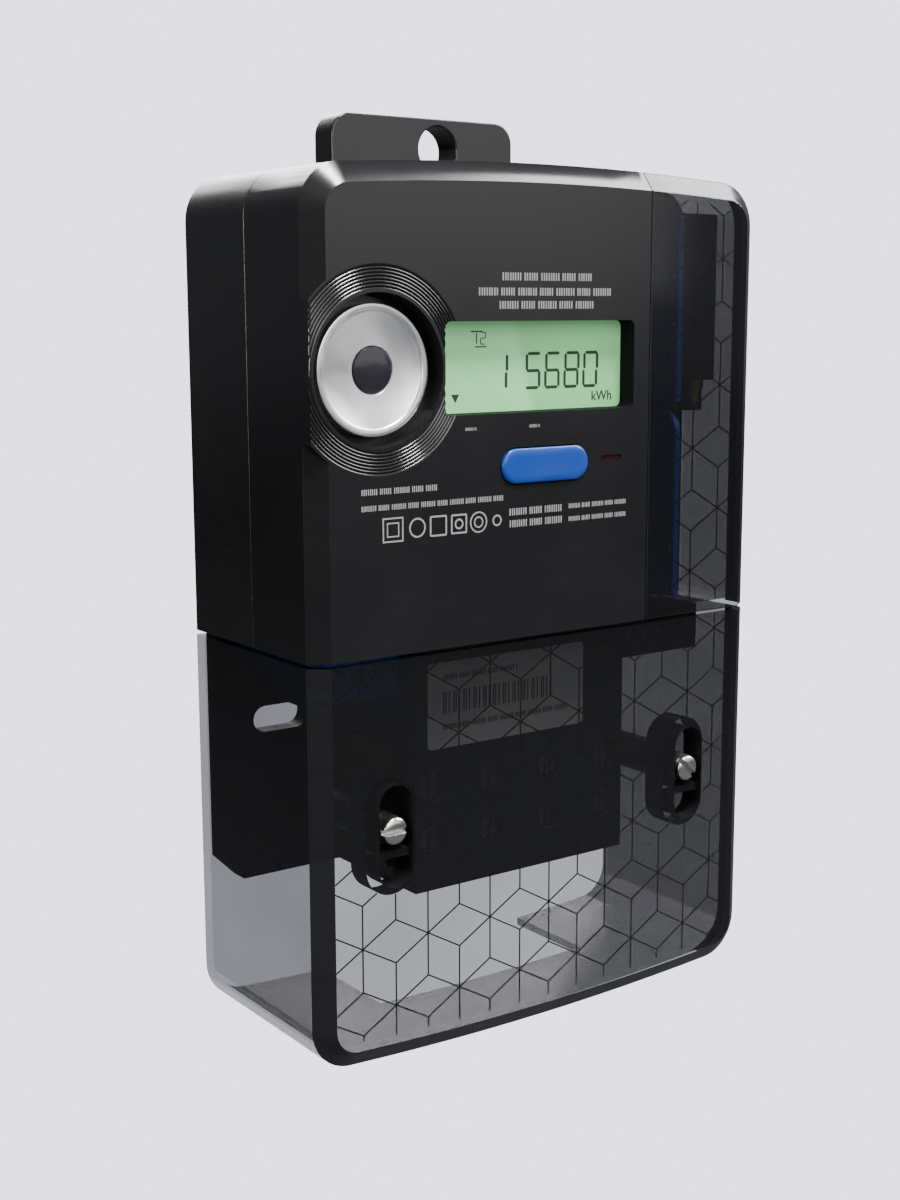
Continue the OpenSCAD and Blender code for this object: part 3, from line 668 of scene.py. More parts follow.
front_cover = upper_shell("cover_front", WALL, SEAM)
cut(front_cover, (BAY_LEFT - 0.15, 0, 0), (1, 0, 0))
PORT_AT = (PORT[0], PORT[2])
BOSS_R, RECESS_R, RING_R = 22.9, 16.4, 14.15
SEAT, RIM = 47.9, 50.9
boss = disc("boss", PORT_AT, BOSS_R, SIDE - 6, FRONT, 128)
cut(boss, (-HALF, 0, 0), (-1, 0, 0))
carve(front_cover, boss, operation="UNION")
print("front cover", [round(v / MM, 1) for v in front_cover.dimensions])

# %% Its partition, wells and openings
DISPLAY, DISPLAY_SIZE, DISPLAY_ROUND = (-3.2, 57.7), (54.6, 20.4), 1.6
BUTTON, BUTTON_SIZE = (-2.7, 35.5), (25.6, 8.5)
WELL_WALL, WELL_FRONT = 1.2, 51.6


def grown(size, by):
    """A width and a height, both larger by a margin on every side."""
    return size[0] + 2 * by, size[1] + 2 * by


def display_cutter():
    """The cutter of the display's opening."""
    return pill("display_cut", DISPLAY, DISPLAY_SIZE, 45, 55, DISPLAY_ROUND)


partition = block("partition", (26.7, -50.6, SPLIT[0] + 0.5), (28.85, -SEAM, 99.2))
glass_well = pill("glass_well", DISPLAY, grown(DISPLAY_SIZE, WELL_WALL), 46.6, WELL_FRONT, 2.4)
button_well = pill("button_well", BUTTON, grown(BUTTON_SIZE, WELL_WALL), 48.4, WELL_FRONT)
port_well = disc("port_well", PORT_AT, 17.1, SEAT - 1.6, WELL_FRONT, 96)
cut(port_well, (-64.5, 0, 0), (-1, 0, 0))
carve(front_cover, partition, glass_well, button_well, port_well, operation="UNION")
button_cut = pill("button_cut", BUTTON, BUTTON_SIZE, 30, 55)
slot_cut = pill("slot_cut", (17.3, 36), (6.2, 1.3), 30, 55, 0.5, 4)
recess_cut = disc("recess_cut", PORT_AT, RECESS_R, SEAT, 55, 128)
window_cut = disc("window_cut", PORT_AT, RING_R - 3, 44, SEAT + 1)
groove_bed = disc("groove_bed", PORT_AT, BOSS_R - 0.52, FRONT - 0.44, 55, 128)
carve(groove_bed, disc("bed_middle", PORT_AT, RECESS_R + 0.68, 50, 56, 128))
carve(front_cover, display_cutter(), button_cut, slot_cut, groove_bed, recess_cut, window_cut)
soften(front_cover, 0.3, crease=where_corner_starts)
print("front cover openings cut,", len(front_cover.data.polygons), "faces")

# %% The bay's floor behind the plug-in boards
bay_floor = half_case("bay_floor", True, 2.4, SEAM, BAY, BAY - 0.4, 0.4)
cut(bay_floor, (0, 0, -1.7), (0, 0, -1))
cut(bay_floor, (26.7, 0, 0), (-1, 0, 0))
front_cover = joined("cover_front", [front_cover, bay_floor])
finish(front_cover, "housing", "case_black", "case_black", ["front_cover"])


def in_display_well(p, n):
    """The dull walls that frame the display."""
    near = abs(p.x - DISPLAY[0]) < 27.8 and abs(p.z - DISPLAY[1]) < 10.6
    return near and abs(n.y) < 0.5 and -53.2 < p.y < -46


border(front_cover, "well_black", in_display_well)

# %% [markdown]
# ## Grooves around the reading port
# The boss has fine turned grooves, so that light draws bright sectors on it as it does on a record. A
# bump map can't do this at grazing angles, so the grooves are real: one profile of ridges is spun
# around the port's axis, and the part that would stand past the side wall is cut away.

# %% Spin a grooved ring
def lathe(name, centre, profile, steps, closed=False):
    """Spin points of (radius, depth) around an axis that runs front to back."""
    fresh()
    x, z = centre
    bpy.ops.mesh.primitive_plane_add(size=1)
    piece = named(name)
    pick(piece, kind="VERT")
    bpy.ops.mesh.delete(type="VERT")
    mesh = bmesh.from_edit_mesh(piece.data)
    points = [mesh.verts.new(Vector((x + r, -d, z)) * MM) for r, d in profile]
    for first, second in zip(points, points[1:] + points[:1] if closed else points[1:]):
        mesh.edges.new((first, second))
    bmesh.update_edit_mesh(piece.data)
    bpy.ops.mesh.select_all(action="SELECT")
    bpy.ops.mesh.spin(
        steps=steps, angle=2 * math.pi, center=Vector((x, 0, z)) * MM, axis=(0, 1, 0))
    bpy.ops.mesh.select_all(action="SELECT")
    bpy.ops.mesh.remove_doubles(threshold=0.00001)
    bpy.ops.mesh.normals_make_consistent(inside=False)
    return done(piece)


first_groove, ridge, grooves, groove_depth = RECESS_R + 0.75, 0.72, 7, 0.34
profile = [(first_groove - 0.1, FRONT - 0.45), (first_groove - 0.05, FRONT)]
for number in range(grooves):
    start = first_groove + number * ridge
    profile += [(start + 0.1, FRONT), (start + 0.36, FRONT - groove_depth), (start + 0.62, FRONT)]
profile += [(BOSS_R - 0.55, FRONT), (BOSS_R - 0.5, FRONT - 0.45)]
port_grooves = lathe("port_grooves", PORT_AT, profile, 128, closed=True)
cut(port_grooves, (-HALF + 0.15, 0, 0), (-1, 0, 0))
carve(port_grooves, display_cutter())
smooth(port_grooves, 60)
finish(port_grooves, "housing", "case_black", "groove_black")

# %% [markdown]
# ## Steel ring and window of the port
# A magnet holds the reading head here, so the ring is steel, turned on a lathe: a rim, a face that
# lies a little lower, and fine rings left by the tool. Both are spun from a profile. The window in the
# middle is a dark plastic lens that only infrared light passes.

# %% Turned ring and lens
ring_profile = [
    (5.06, SEAT), (5.06, RIM - 0.75), (5.3, RIM - 0.5), (12.3, RIM - 0.42), (12.55, RIM - 0.3),
    (12.75, RIM - 0.05), (13.1, RIM), (13.85, RIM), (14.05, RIM - 0.1), (RING_R, RIM - 0.3), (RING_R, SEAT)]
port_ring = smooth(lathe("port_ring_turned", PORT_AT, ring_profile, 128, closed=True), 30)
finish(port_ring, "housing", "turned_steel", "turned_steel", ["port_ring"])
lens_profile = [
    (0, SEAT - 1.4), (7, SEAT - 1.4), (7, SEAT), (5, SEAT), (5, RIM - 0.6), (4.8, RIM - 0.4),
    (3.6, RIM - 0.22), (1.8, RIM - 0.13), (0, RIM - 0.1)]
port_lens = smooth(lathe("port_lens", PORT_AT, lens_profile, 64), 30)
finishes["dark_window"] = moulded("dark_window", (0.014, 0.013, 0.017), 0.1, 0.001, 0.01)
finish(port_lens, "housing", "dark_window", "dark_window", ["port_window"])

# %% [markdown]
# ## Module cover and terminal cover
# Both covers are the same shell as the case in smoked plastic. The bevelled border gets the second smoked
# finish, which is painted dark in place of the bevels' dark reflection. The terminal cover is the lower
# half of the outline. It is open at the back and the top, and it has two deep collars for the seal screws
# and a notch for the cables.

# %% Smoked module cover
def on_bevel(p, n):
    """The sloped faces between the side walls and the front, and those at the corner itself."""
    return -0.95 < n.y < -0.3 and p.y < -SIDE + 1.5


COVER_WALL, RIM_DEPTH = 2.0, 44.5


def split_rim(piece):
    """Divide the walls behind the front edge, where the eye looks along the plastic."""
    pick(piece)
    bpy.ops.mesh.bisect(plane_co=(0, -RIM_DEPTH * MM, 0), plane_no=(0, 1, 0))
    return done(piece)


def on_right_rim(p, n):
    """The outside of the right wall close to the front: seen edge-on, its dye looks black."""
    return n.x > 0.2 and abs(n.y) < 0.2 and p.x > 54 and p.y < -RIM_DEPTH


def dress(cover, name, on_side):
    """Soften a smoked cover, and give its front, bevels, side walls and right rim their finishes."""
    split_rim(cover)
    soften(cover, 0.3, crease=where_corner_starts)
    finish(cover, name, "smoked_clear", "smoked_clear", [name])
    # The bevels get the border finish, which is painted dark in place of their dark reflection.
    border(cover, "smoked_border_painted_dark", on_bevel)
    border(cover, "smoked_side", on_side)
    border(cover, "smoked_border_painted_dark", on_right_rim)


module_cover = upper_shell("cover_module", COVER_WALL, SEAM + 0.1)
cut(module_cover, (BAY_LEFT + 0.15, 0, 0), (-1, 0, 0))
dress(module_cover, "module_cover", lambda p, n: abs(n.x) > 0.95)

# %% Smoked terminal cover
SEAL_X, SEAL_Z, FLOOR = 44.4, -44.0, 46.9
COLLAR_Z, COLLAR = -45.2, (13.4, 28)
terminal_cover = half_case("cover_terminals", False)
cut(terminal_cover, (0, 0, SPLIT[1]), (0, 0, 1))
carve(terminal_cover, hollow(False, COVER_WALL))
print("terminal cover", [round(v / MM, 1) for v in terminal_cover.dimensions])
collars = [pill("collar", (s * SEAL_X, COLLAR_Z), COLLAR, FLOOR - 2, FRONT - 0.01) for s in (-1, 1)]
pad = disc("switch_pad", (25.2, -13), 2, 45.8, 51.8, 24)
carve(terminal_cover, *collars, pad, operation="UNION")
tools = []
for s in (-1, 1):
    recess = pill("recess", (s * SEAL_X, COLLAR_Z), grown(COLLAR, -2.2), FLOOR, 55)
    bridge = block("bridge", (s * SEAL_X - 6, -52.2, -50.4), (s * SEAL_X + 6, -FLOOR + 1, -48.6))
    tools += [carve(recess, bridge), disc("screw_hole", (s * SEAL_X, SEAL_Z), 1.9, 43, 48, 32)]
    tools.append(disc("head_hole", (s * SEAL_X, SEAL_Z), 3.6, FLOOR, 55, 48))
notch = block("notch", (-31.7, -26.9, -101), (31.7, 1, -94))
carve(terminal_cover, *tools, notch)
dress(terminal_cover, "terminal_cover", lambda p, n: abs(n.x) > 0.95 and abs(p.x) > 60)


def on_collar_wall(p, n):
    """The walls of the two collars, which look black because they are seen edge-on."""
    width, height = grown(COLLAR, 0.2)
    near = abs(abs(p.x) - SEAL_X) < width / 2 and abs(p.z - COLLAR_Z) < height / 2
    return near and abs(n.y) < 0.9 and p.y < -44.5


border(terminal_cover, "smoked_border_painted_dark", on_collar_wall)

# %% [markdown]
# ## Line pattern inside the smoked covers
# Fine ribs on the inner faces draw stacked cubes: every corner where six edges meet is one star, and a
# lattice of stars makes the pattern. One rib is modelled and copied along every spoke of the lattice.
# Each copy is only as long as the flat inside of the cover allows, so nothing has to be cut afterwards.

# %% Trim and place the ribs
STAR_X, STAR_Z, SPOKE, RIB = 17.8, 15.3, 10.2, 0.34
FIRST_STAR = Vector((-52.3, -70.5))


def runs(start, way, allowed):
    """The stretches of one spoke that lie where ribs are allowed, tried at 60 steps."""
    points = [start + way * (SPOKE * k / 60) for k in range(61)]
    found, open_at = [], None
    for point in points:
        inside = allowed(point.x, point.y)
        if inside and open_at is None:
            open_at = point
        if open_at is not None and (not inside or point == points[-1]):
            found.append((open_at, point))
            open_at = None
    return [(a, b) for a, b in found if (b - a).length > 0.4]


def rib_pattern(name, depth, columns, rows, allowed):
    """Six spokes at every lattice corner, each trimmed to where ribs are allowed."""
    rib = block("rib", (0, -depth, -RIB / 2), (1, -depth + 0.2, RIB / 2))
    round_edges(rib, lambda p, way: abs(way.x) > 0.9 and p.y > -depth + 0.1, 0.07, 1)
    sheet = []
    for k in range(*rows):
        for i in range(*columns):
            start = FIRST_STAR + Vector((STAR_X * (i + 0.5 * (k % 2)), STAR_Z * k))
            for sixth in range(6):
                angle = math.radians(30 + 60 * sixth)
                way = Vector((math.cos(angle), math.sin(angle)))
                for a, b in runs(start, way, allowed):
                    piece = copy_of(rib, "rib")
                    piece.data.transform(Matrix.Diagonal(((b - a).length, 1, 1, 1)))
                    piece.data.transform(Matrix.Rotation(-angle, 4, "Y"))
                    piece.data.transform(Matrix.Translation(Vector((a.x, 0, a.y)) * MM))
                    sheet.append(piece)
    bpy.data.objects.remove(rib)
    return joined(name, sheet)


def within(x, z, left, right, low, high, radius):
    """Inside a rounded rectangle."""
    dx = max(left + radius - x, x - right + radius, 0)
    dz = max(low + radius - z, z - high + radius, 0)
    return math.hypot(dx, dz) < radius


def on_terminal_cover(x, z):
    """The flat inside of the terminal cover without its two collars."""
    low = -91.8 - LOWER_ARCH * (1 - (x / 60) ** 2)
    if z > SPLIT[1] - 0.5 or not within(x, z, -59.4, 59.4, low, 20, 5):
        return False
    wide, high = grown(COLLAR, 0.1)
    to_collar = abs(x) - SEAL_X
    return not within(to_collar, z - COLLAR_Z, -wide / 2, wide / 2, -high / 2, high / 2, 6.7)


def on_module_cover(x, z):
    """The flat inside of the module cover."""
    high = 94.6 + ARCH * (1 - (x / 60) ** 2)
    return x > BAY_LEFT + 0.5 and z > -1.8 and within(x, z, -60, 59.4, -20, high, 5)


inside = FRONT - COVER_WALL
cover_ribs = rib_pattern("cover_ribs", inside - 0.01, (-2, 9), (-3, 7), on_terminal_cover)
finish(cover_ribs, "terminal_cover", "smoked_clear", "smoked_lines")
bay_ribs = rib_pattern("module_cover_ribs", inside - 0.01, (3, 8), (2, 13), on_module_cover)
finish(bay_ribs, "module_cover", "smoked_clear", "smoked_lines")

# %% [markdown]
# ## Rear base and hanger
# The rear base is the tray that hangs on the wall. It shares the case's outline as far as the seam, and
# the flat plate for the terminals goes on below it. The hanger is a thick plate with one round hole. It
# slides in a pocket of the base, held by two ears, so that the eye can be pushed in out of sight.

# %% Rear base
CASE_SCREW_X, CASE_SCREW_ROWS = 57.8, (4.1, 84.3)
BAR_PLACES = (-26.475, -8.825, 8.825, 26.475)
rear_base = half_case("base_rear", True, front=SEAM, side=SEAM - 0.25, bevel=0.25)
cut(rear_base, (0, 0, SPLIT[0]), (0, 0, -1))
space = half_case("space", True, WALL, 3, 40, 39, 1)
cut(space, (0, 0, SPLIT[0] + WALL), (0, 0, -1))
carve(rear_base, space)
plate = block("plate", (-62.6, -5, -66), (62.6, 0, -2))
round_edges(plate, lambda p, way: abs(way.y) > 0.9 and p.z < -60, 6, 1)
pocket_walls = block("pocket_walls", (-34.2, -9.7, 70.9), (26.6, -0.01, 99.4))
posts = [disc("post", (s * SEAL_X, SEAL_Z), 4.5, 1, 44.5, 40) for s in (-1, 1)]
carve(rear_base, plate, pocket_walls, *posts, operation="UNION")
tools = [block("pocket", (-30.6, -8.2, 72.4), (23, 1, 120))]
tools.append(block("ear_grooves", (-32.6, -5.9, 72.4), (25, -2.7, 95.3)))
for s in (-1, 1):
    tools.append(disc("insert_hole", (s * SEAL_X, SEAL_Z), 2.7, 35.5, 46, 32))
    tools.append(pill("fixing_slot", (s * 45.5, -27), (15, 6.4), -1, 6))
    tools += [disc("screw_hole", (s * CASE_SCREW_X, z), 3, -1, 8, 32) for z in CASE_SCREW_ROWS]
for x in BAR_PLACES:
    tools.append(block("bar_slot", (x - 4.9, -21, -6), (x + 4.9, -17, 0)))
carve(rear_base, *tools)
soften(rear_base, 0.3)
finish(rear_base, "housing", "case_black", "base_black", ["rear_base"])

# %% Hanger
hanger = block("hanger_plate", (-30.3, -7.9, 87), (22.7, 0, 116.1))
round_edges(hanger, lambda p, way: abs(way.y) > 0.9 and p.z > 110, 5, 8)
ears = block("ears", (-32.3, -5.6, 87), (24.7, -3, 95))
carve(hanger, ears, operation="UNION")
carve(hanger, disc("eye", (0, 108.8), 5.6, -1, 9))
soften(hanger, 0.45, 3)
finish(hanger, "hanger", "case_black", "case_black", ["hanger"])

# %% [markdown]
# ## Display
# A liquid crystal display is a sandwich of glass on a green light guide. Its figures have seven bars
# with pointed ends. One bar is modelled, then copied, turned and leaned a little, and each figure uses
# the bars that it needs. They stand a hundredth of a millimetre off the glass.

# %% Glass with a green glow and a painted reflection
GLASS = 48.6
glass = pill("display_pane", DISPLAY, grown(DISPLAY_SIZE, -0.05), GLASS - 2, GLASS, 1.5, 6)
soften(glass, 0.15)
lcd = Finish("display_green", (0.28, 0.62, 0.33), 0.16,
             Emission_Strength=0.4, Coat_Weight=0.3, Coat_Roughness=0.04)
across = lcd.place((1, 1, 1), (DISPLAY[0], -GLASS, DISPLAY[1]))
parts = lcd.node("ShaderNodeSeparateXYZ", None, {0: across})
along = Wire(lcd, parts.socket.node.outputs["X"])
upward = Wire(lcd, parts.socket.node.outputs["Z"])
# Painted reflection: the green is lighter towards the top and past a leaning diagonal edge. It is painted
# into both the colour and the glow.
painted_sheen = lcd.band(upward * 1000 + along * 300, -12, 12)  # metres to millimetres, leaning
painted_reflection = lcd.band(along * -1000 - upward * 290 - 2.0, -1.2, 1.2)
base = lcd.blend(painted_sheen, (0.13, 0.38, 0.15, 1), (0.2, 0.52, 0.22, 1))
glow = lcd.blend(painted_reflection * 0.3, base, (0.32, 0.68, 0.36, 1))
lcd.feed("Base Color", glow).feed("Emission Color", glow)
lcd.feed("Roughness", lcd.band(lcd.noise(6, 3), 0.3, 0.7, 0.1, 0.2))
finishes["display_green"] = lcd
finish(glass, "housing", "display_green", "display_green", ["display_glass"])

# %% Figures made of pointed bars
BAR, THICK, LEAN = 3.7, 0.72, 0.07
INK_D = GLASS + 0.012
FIGURES = {"0": "abcdef", "1": "ef", "5": "afgcd", "6": "afgedc", "8": "abcdefg", "2": "abged"}


def pointed_bar(length, width):
    """A flat bar lying along X whose two ends are drawn to points."""
    bar = block("bar", (-length / 2, -0.03, -width / 2), (length / 2, 0, width / 2))
    for s in (-1, 1):
        pick(bar, lambda p, n: n.x * s > 0.9)
        bpy.ops.mesh.extrude_region_move(TRANSFORM_OT_translate={"value": (s * width / 2 * MM, 0, 0)})
        bpy.ops.transform.resize(value=(1, 1, 0.12), center_override=(0, 0, 0))
        done(bar)
    return bar


def figure(digit, centre, bar_length, width):
    """Seven bars, of which a digit shows some, leaning to the right."""
    x, z = centre
    half = bar_length / 2 + width * 0.12
    step = 2 * half
    places = {"a": (0, step), "g": (0, 0), "d": (0, -step), "f": (-half, half), "b": (half, half),
              "e": (-half, -half), "c": (half, -half)}
    model = pointed_bar(bar_length - width, width)
    bars = []
    for letter in FIGURES[digit]:
        dx, dz = places[letter]
        upright = math.radians(90) if letter in "fbec" else 0
        bars.append(copy_of(model, "bar", (x + dx + LEAN * dz, -INK_D, z + dz), upright))
    bpy.data.objects.remove(model)
    return bars


READING, FIRST_PLACE, PITCH = "15680", (-8.2, 56.6), 5.72
bars = []
for place, digit in enumerate(READING):
    bars += figure(digit, (FIRST_PLACE[0] + PITCH * place, FIRST_PLACE[1]), BAR, THICK)
print(len(bars), "bars make", READING)

# %% Tariff sign, arrow and unit
bars += figure("2", (-16.8, 64.1), 1.25, 0.24)
across, upright = pointed_bar(3.0, 0.3), pointed_bar(2.2, 0.3)
bars.append(copy_of(across, "bar", (-17.4, -INK_D, 62.2)))
bars.append(copy_of(across, "bar", (-18.6, -INK_D, 65.6)))
bars.append(copy_of(upright, "bar", (-18.6, -INK_D, 64.1), math.radians(90)))
for model in (across, upright):
    bpy.data.objects.remove(model)
arrow = block("arrow", (-25.6, -GLASS - 0.03, 50), (-23.4, -GLASS - 0.004, 51.8))
pick(arrow, lambda p, n: n.z < -0.9)
bpy.ops.transform.resize(value=(0.08, 1, 1), center_override=Vector((-24.5, -GLASS, 50)) * MM)
done(arrow)
fresh()
turn = (math.radians(90), 0, 0)
bpy.ops.object.text_add(location=Vector((15.0, -GLASS - 0.01, 49.3)) * MM, rotation=turn)
unit = bpy.context.object
unit.data.body, unit.data.size, unit.data.extrude = "kWh", 3.2 * MM, 0.01 * MM
unit.data.offset = 0.04 * MM
bpy.ops.object.convert(target="MESH")
unit = named("unit")
lcd_figures = joined("display_figures", [*bars, arrow, unit])
finishes["lcd_dark"] = moulded("lcd_dark", (0.012, 0.03, 0.018), 0.3, 0.0, 0.0)
finish(lcd_figures, "housing", "display_green", "lcd_dark")

# %% [markdown]
# ## Button
# The button is a loose blue cap that stands 0.8 mm proud. Its top is slightly crowned, so it catches a
# soft highlight along its upper edge. The crown comes from insetting the front face and lifting it.

# %% Blue button cap
cap = pill("button_blue_cap", BUTTON, grown(BUTTON_SIZE, -0.3), 49.4, 53.85)
pick(cap, lambda p, n: n.y < -0.99)
for width, lift in ((0.3, 0.2), (0.5, 0.1), (0.8, 0.04)):
    bpy.ops.mesh.inset(thickness=width * MM, use_even_offset=False)
    bpy.ops.transform.translate(value=(0, -lift * MM, 0))
done(cap)
stem = disc("stem", BUTTON, 1.6, 46.7, 49.6, 32)
flange = pill("flange", BUTTON, (23, 6.9), 48.2, 49.6)
cap = joined("button_blue_cap", [cap, flange, stem])
soften(cap, 0.15, 2, 50)
finish(cap, "display_button", "button_blue", "button_blue", ["button_cap"])

# %% [markdown]
# ## Seal screws
# Each cover screw has a tall round head with a deep slot and a cross hole for the sealing wire. One
# is spun from a profile, slotted and drilled, and copied to the other side with its own mesh.

# %% One screw and its copy
screw_profile = [
    (0, 36), (1.1, 36), (1.75, 36.8), (1.75, FLOOR - 3.4), (2.55, FLOOR - 3.3), (2.55, FLOOR - 2.5),
    (1.75, FLOOR - 2.4), (1.75, FLOOR + 0.1), (3.3, FLOOR + 0.15), (3.3, FRONT - 0.9), (3.05, FRONT - 0.2),
    (2.6, FRONT + 0.12), (1.4, FRONT + 0.28), (0, FRONT + 0.3)]
screw = lathe("seal_screw_turned_left", (-SEAL_X, SEAL_Z), screw_profile, 48)
slot = block("slot", (-SEAL_X - 4, -55, SEAL_Z - 0.6), (-SEAL_X + 4, -FRONT + 1.3, SEAL_Z + 0.6))
fresh()
bpy.ops.mesh.primitive_cylinder_add(
    vertices=24, radius=0.9 * MM, depth=10 * MM, rotation=(0, math.radians(90), 0),
    location=Vector((-SEAL_X, -49.7, SEAL_Z)) * MM)
drill = named("drill")
carve(screw, slot, drill)
soften(screw, 0.12)
screw_right = copy_of(screw, "seal_screw_turned_right", (2 * SEAL_X, 0, 0), math.radians(45),
                      (-SEAL_X, 0, SEAL_Z))
finish(screw, "seal_screw_left", "nickel_steel", "nickel_steel", ["seal_screw_left"])
finish(screw_right, "seal_screw_right", "nickel_steel", "nickel_steel", ["seal_screw_right"])

# %% [markdown]
# ## Parts that keep their CAD shape
# What lies inside is already right in the CAD, but its edges are knife-sharp, and real parts never are.
# A CAD mesh is loose triangles, so a copy is welded, its flat faces are merged, and a narrow bevel goes
# round it. Small or hidden parts stay as they are and only get a finish.

# %% Softened copies of CAD parts
def softened(node, slot_name, finish_name, width):
    """A welded copy of a CAD node with broken edges, which stands for that node."""
    piece = bpy.data.objects.new(node + "_soft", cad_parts[node].data.copy())
    bpy.context.scene.collection.objects.link(piece)
    pick(piece)
    bpy.ops.mesh.remove_doubles(threshold=0.000002)
    bpy.ops.mesh.dissolve_limited(angle_limit=math.radians(1))
    done(piece)
    soften(piece, width)
    return finish(piece, "housing", slot_name, finish_name, [node])


softened("terminal_block", "terminal_black", "terminal_black", 0.3)
softened("blue_terminal", "terminal_blue", "terminal_blue", 0.25)
softened("black_terminal", "terminal_black", "terminal_black", 0.25)
softened("clamp_screws", "zinc_steel", "zinc_steel", 0.15)
softened("radio_module", "inner_black", "radio_black", 0.4)

# %% [markdown]
# ## Circuit boards
# A board is green or blue lacquer over copper tracks. The tracks show as a slightly lighter, raised
# pattern, and the copper pads shine through. A brick pattern stretched along one axis gives parallel
# tracks that jog sideways, and a grid of dots gives the plated holes.

# %% Lacquered boards with tracks
def board(name, colour, track, flat):
    """Lacquer with tracks; flat tells which two axes lie in the board."""
    made = Finish(name, colour, 0.32, Coat_Weight=0.35, Coat_Roughness=0.12)
    swing = {"xz": (math.radians(90), 0, 0), "yz": (0, math.radians(90), 0)}[flat]
    where = made.place(angle=swing)
    sizes = {"Vector": where, "Scale": 1 / (9 * MM), "Mortar Size": 0.035, "Brick Width": 0.9,
             "Row Height": 0.16, "Mortar Smooth": 0.3}
    bricks = made.node("ShaderNodeTexBrick", {"offset": 0.35}, sizes, output="Fac")
    dots = made.node("ShaderNodeTexVoronoi", None, {"Vector": where, "Scale": 1 / (4.2 * MM)})
    tracks = made.band(made.noise(12, 1), 0.42, 0.5) * bricks
    made.tint(tracks, track)
    pads = 1 - made.band(dots, 0.1, 0.14)
    made.tint(pads * made.band(made.noise(16, 1), 0.5, 0.52), (0.75, 0.6, 0.3))
    made.feed("Roughness", made.band(made.noise(5, 3), 0.3, 0.7, 0.25, 0.4))
    return made.bump(tracks, 0.035)


finishes["board_green"] = board("board_green", (0.02, 0.12, 0.05), (0.04, 0.2, 0.09), "xz")
finishes["module_blue"] = board("module_blue", (0.02, 0.11, 0.6), (0.05, 0.2, 0.8), "yz")
finishes["coil_tape"] = plated("coil_tape", (0.35, 0.12, 0.04), 0.35, (1, 1, 20), 0.02)
finishes["coil_tape"].feed("Metallic", 0.0)
CARRIED = {
    "seal_rubber": ["case_seal"],
    "contact_rubber": ["display_contacts"],
    "zinc_steel": ["case_screws", "board_screws", "clock_crystal", "small_screws"],
    "inner_black": ["display_frame", "diode_holder", "button_switch", "board_link", "cover_switch",
                    "module_sockets"],
    "light_guide": ["backlight"],
    "diode_body": ["infrared_emitter", "infrared_receiver"],
    "board_green": ["front_board", "main_board"],
    "module_blue": ["upper_module_board", "lower_module_board"],
    "lamp_red": ["pulse_led", "pulse_lens"],
    "chip_black": ["metering_chip", "control_chip"],
    "film_yellow": ["film_capacitor"],
    "sleeve_blue": ["supply_capacitor"],
    "disc_blue": ["surge_varistor"],
    "battery_sleeve": ["backup_battery"],
    "bar_copper": ["current_shunt", "busbars"],
    "relay_white": ["load_relay"],
    "coil_tape": ["neutral_transformer"],
    "clamp_brass": ["terminal_clamps", "post_inserts"],
    "plunger_red": ["cover_plunger"],
    "connector_gold": ["antenna_sockets"]}
for finish_name, nodes in CARRIED.items():
    for node in nodes:
        for material_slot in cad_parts[node].material_slots:
            material_slot.link = "OBJECT"
            material_slot.material = finishes[finish_name].material
print(sum(map(len, CARRIED.values())), "CAD parts have their finishes")

# %% [markdown]
# ## Printing
# The front is printed with rows of small pale text and a few marks. What they say is the maker's own
# business, so here they are rows of plain ticks, grouped as words would be, with a pair of nested
# squares, the common sign for double insulation, and some plain rings. Ink has a thickness, so every tick
# is a real bar, two hundredths of a millimetre high.

# %% Rows of ticks
WORD = (0.34, 0.26, 0.34, 0.3, 0.26, 0.34, 0.3, 0.85, 0.26, 0.34, 0.3, 0.26, 0.3, 0.95)


def tick_row(left, middle, width, height, depth, gaps=WORD):
    """Small upright bars between two places, with gaps that repeat like words."""
    tick = block("tick", (0, -depth - 0.02, -height / 2), (height * 0.22, -depth + 0.01, height / 2))
    row, x, number = [], 0.0, 0
    while x < width - height * 0.22:
        row.append(copy_of(tick, "tick", (left + x, 0, middle)))
        x += height * 0.22 + gaps[number % len(gaps)] * height * 0.62
        number += 1
    bpy.data.objects.remove(tick)
    return row


def outline(centre, size, line, corner):
    """A thin rounded frame of ink."""
    frame_piece = pill("frame", centre, (size, size), FRONT - 0.01, FRONT + 0.02, corner, 6)
    hole = pill("hole", centre, (size - 2 * line, size - 2 * line), 50, 56, max(corner - line, 0.02), 6)
    return carve(frame_piece, hole)


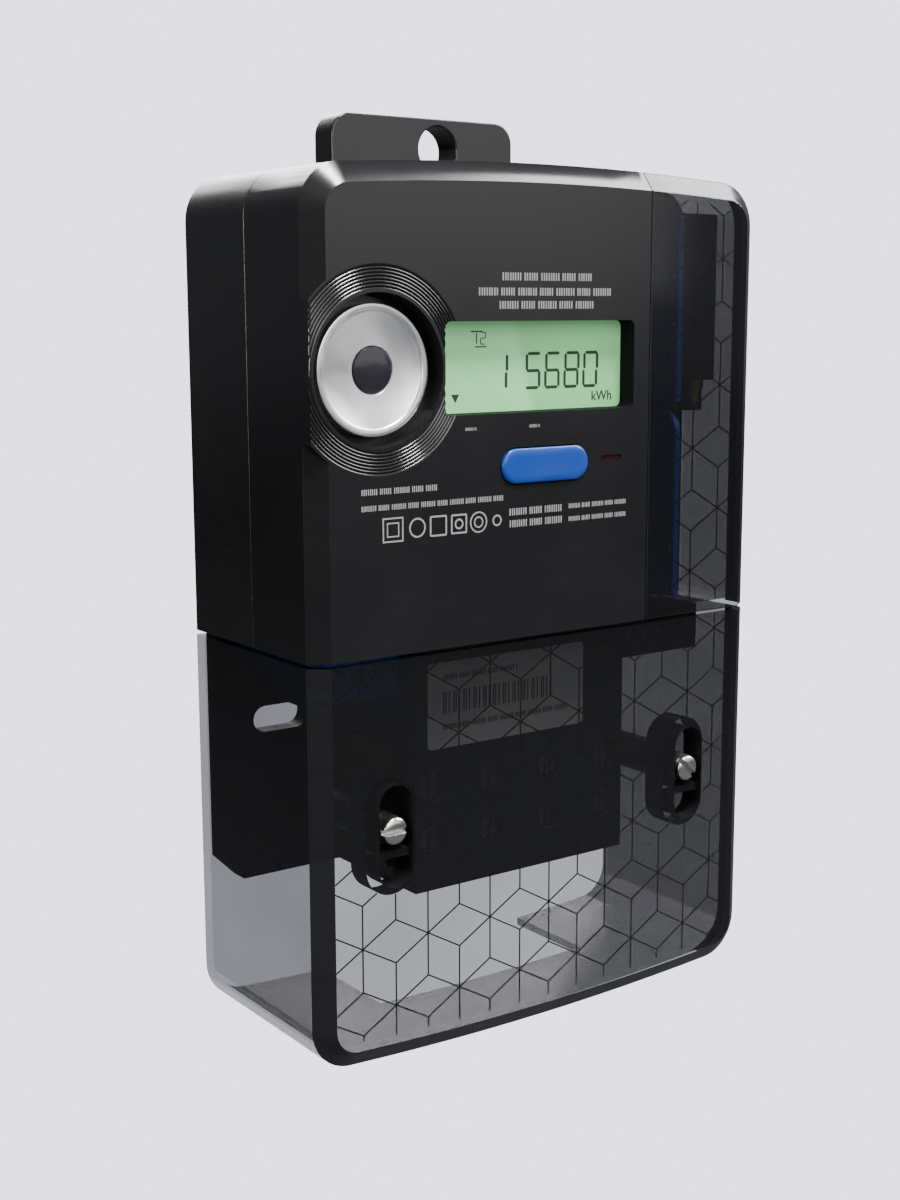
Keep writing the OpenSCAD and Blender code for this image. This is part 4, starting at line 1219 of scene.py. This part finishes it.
# Each row: left end, height on the front, width, height of the letters.
ROWS = [(-15.0, 77.6, 25.7, 1.7), (-21.5, 74.3, 38.3, 1.7), (-15.8, 71.4, 27.2, 1.7),
        (-52.6, 32.1, 19.8, 1.3), (-52.6, 28.6, 38.3, 1.2), (-12.9, 25.2, 15.3, 1.6),
        (-12.8, 22.5, 15.5, 1.6), (4.5, 25.4, 17.9, 1.1), (4.5, 22.4, 17.9, 1.1),
        (-25.2, 44.4, 3.0, 0.7), (-7.2, 44.4, 3.2, 0.7)]
marks = []
for left, middle, width, height in ROWS:
    marks += tick_row(left, middle, width, height, FRONT)
for x, size, line, corner in ((-44.6, 5.4, 0.35, 0.1), (-44.6, 3.2, 0.3, 0.1), (-38.2, 4.4, 0.4, 2.19),
                              (-32.6, 4.6, 0.4, 0.4), (-27.0, 4.4, 0.4, 0.4), (-27.0, 2.4, 0.4, 1.19),
                              (-21.6, 4.8, 0.35, 2.39), (-21.6, 2.6, 0.35, 1.29), (-16.4, 2.6, 0.4, 1.29)):
    marks.append(outline((x, 23.6), size, line, corner))
printing = joined("front_printing", marks)
finish(printing, "housing", "label_grey", "print_grey")

# %% Label on the terminal block
LABEL_X, LABEL_Z, LABEL_D = -4.8, -20.2, 42.6
label = pill("terminal_label_sheet", (LABEL_X, LABEL_Z), (46.8, 20.5), LABEL_D - 0.28, LABEL_D, 1.2, 5)
soften(label, 0.06, 1)
finish(label, "housing", "label_grey", "label_white", ["terminal_label"])
code = block("code_bar", (0, -LABEL_D - 0.02, -2.6), (0.35, -LABEL_D + 0.01, 2.6))
ink = []
x = LABEL_X - 19
for number in range(34):
    ink.append(copy_of(code, "code_bar", (x, 0, LABEL_Z + 0.6)))
    x += 0.62 + 0.35 * ((number * 7) % 3)
bpy.data.objects.remove(code)
ink += tick_row(LABEL_X - 19, LABEL_Z + 6.6, 22, 1.3, LABEL_D)
ink += tick_row(LABEL_X - 19, LABEL_Z - 5.2, 38, 1.3, LABEL_D)
label_ink = joined("terminal_label_ink", ink)
finish(label_ink, "housing", "label_grey", "label_ink")

# %% [markdown]
# The box of the visible model is measured and printed, as the CAD's box was at the start. The
# visible model may not grow past the CAD.

# %% Measure the visible box
seen_box = [list(corner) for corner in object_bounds()]
print("visual box in mm:", [[round(v / MM, 1) for v in corner] for corner in seen_box])
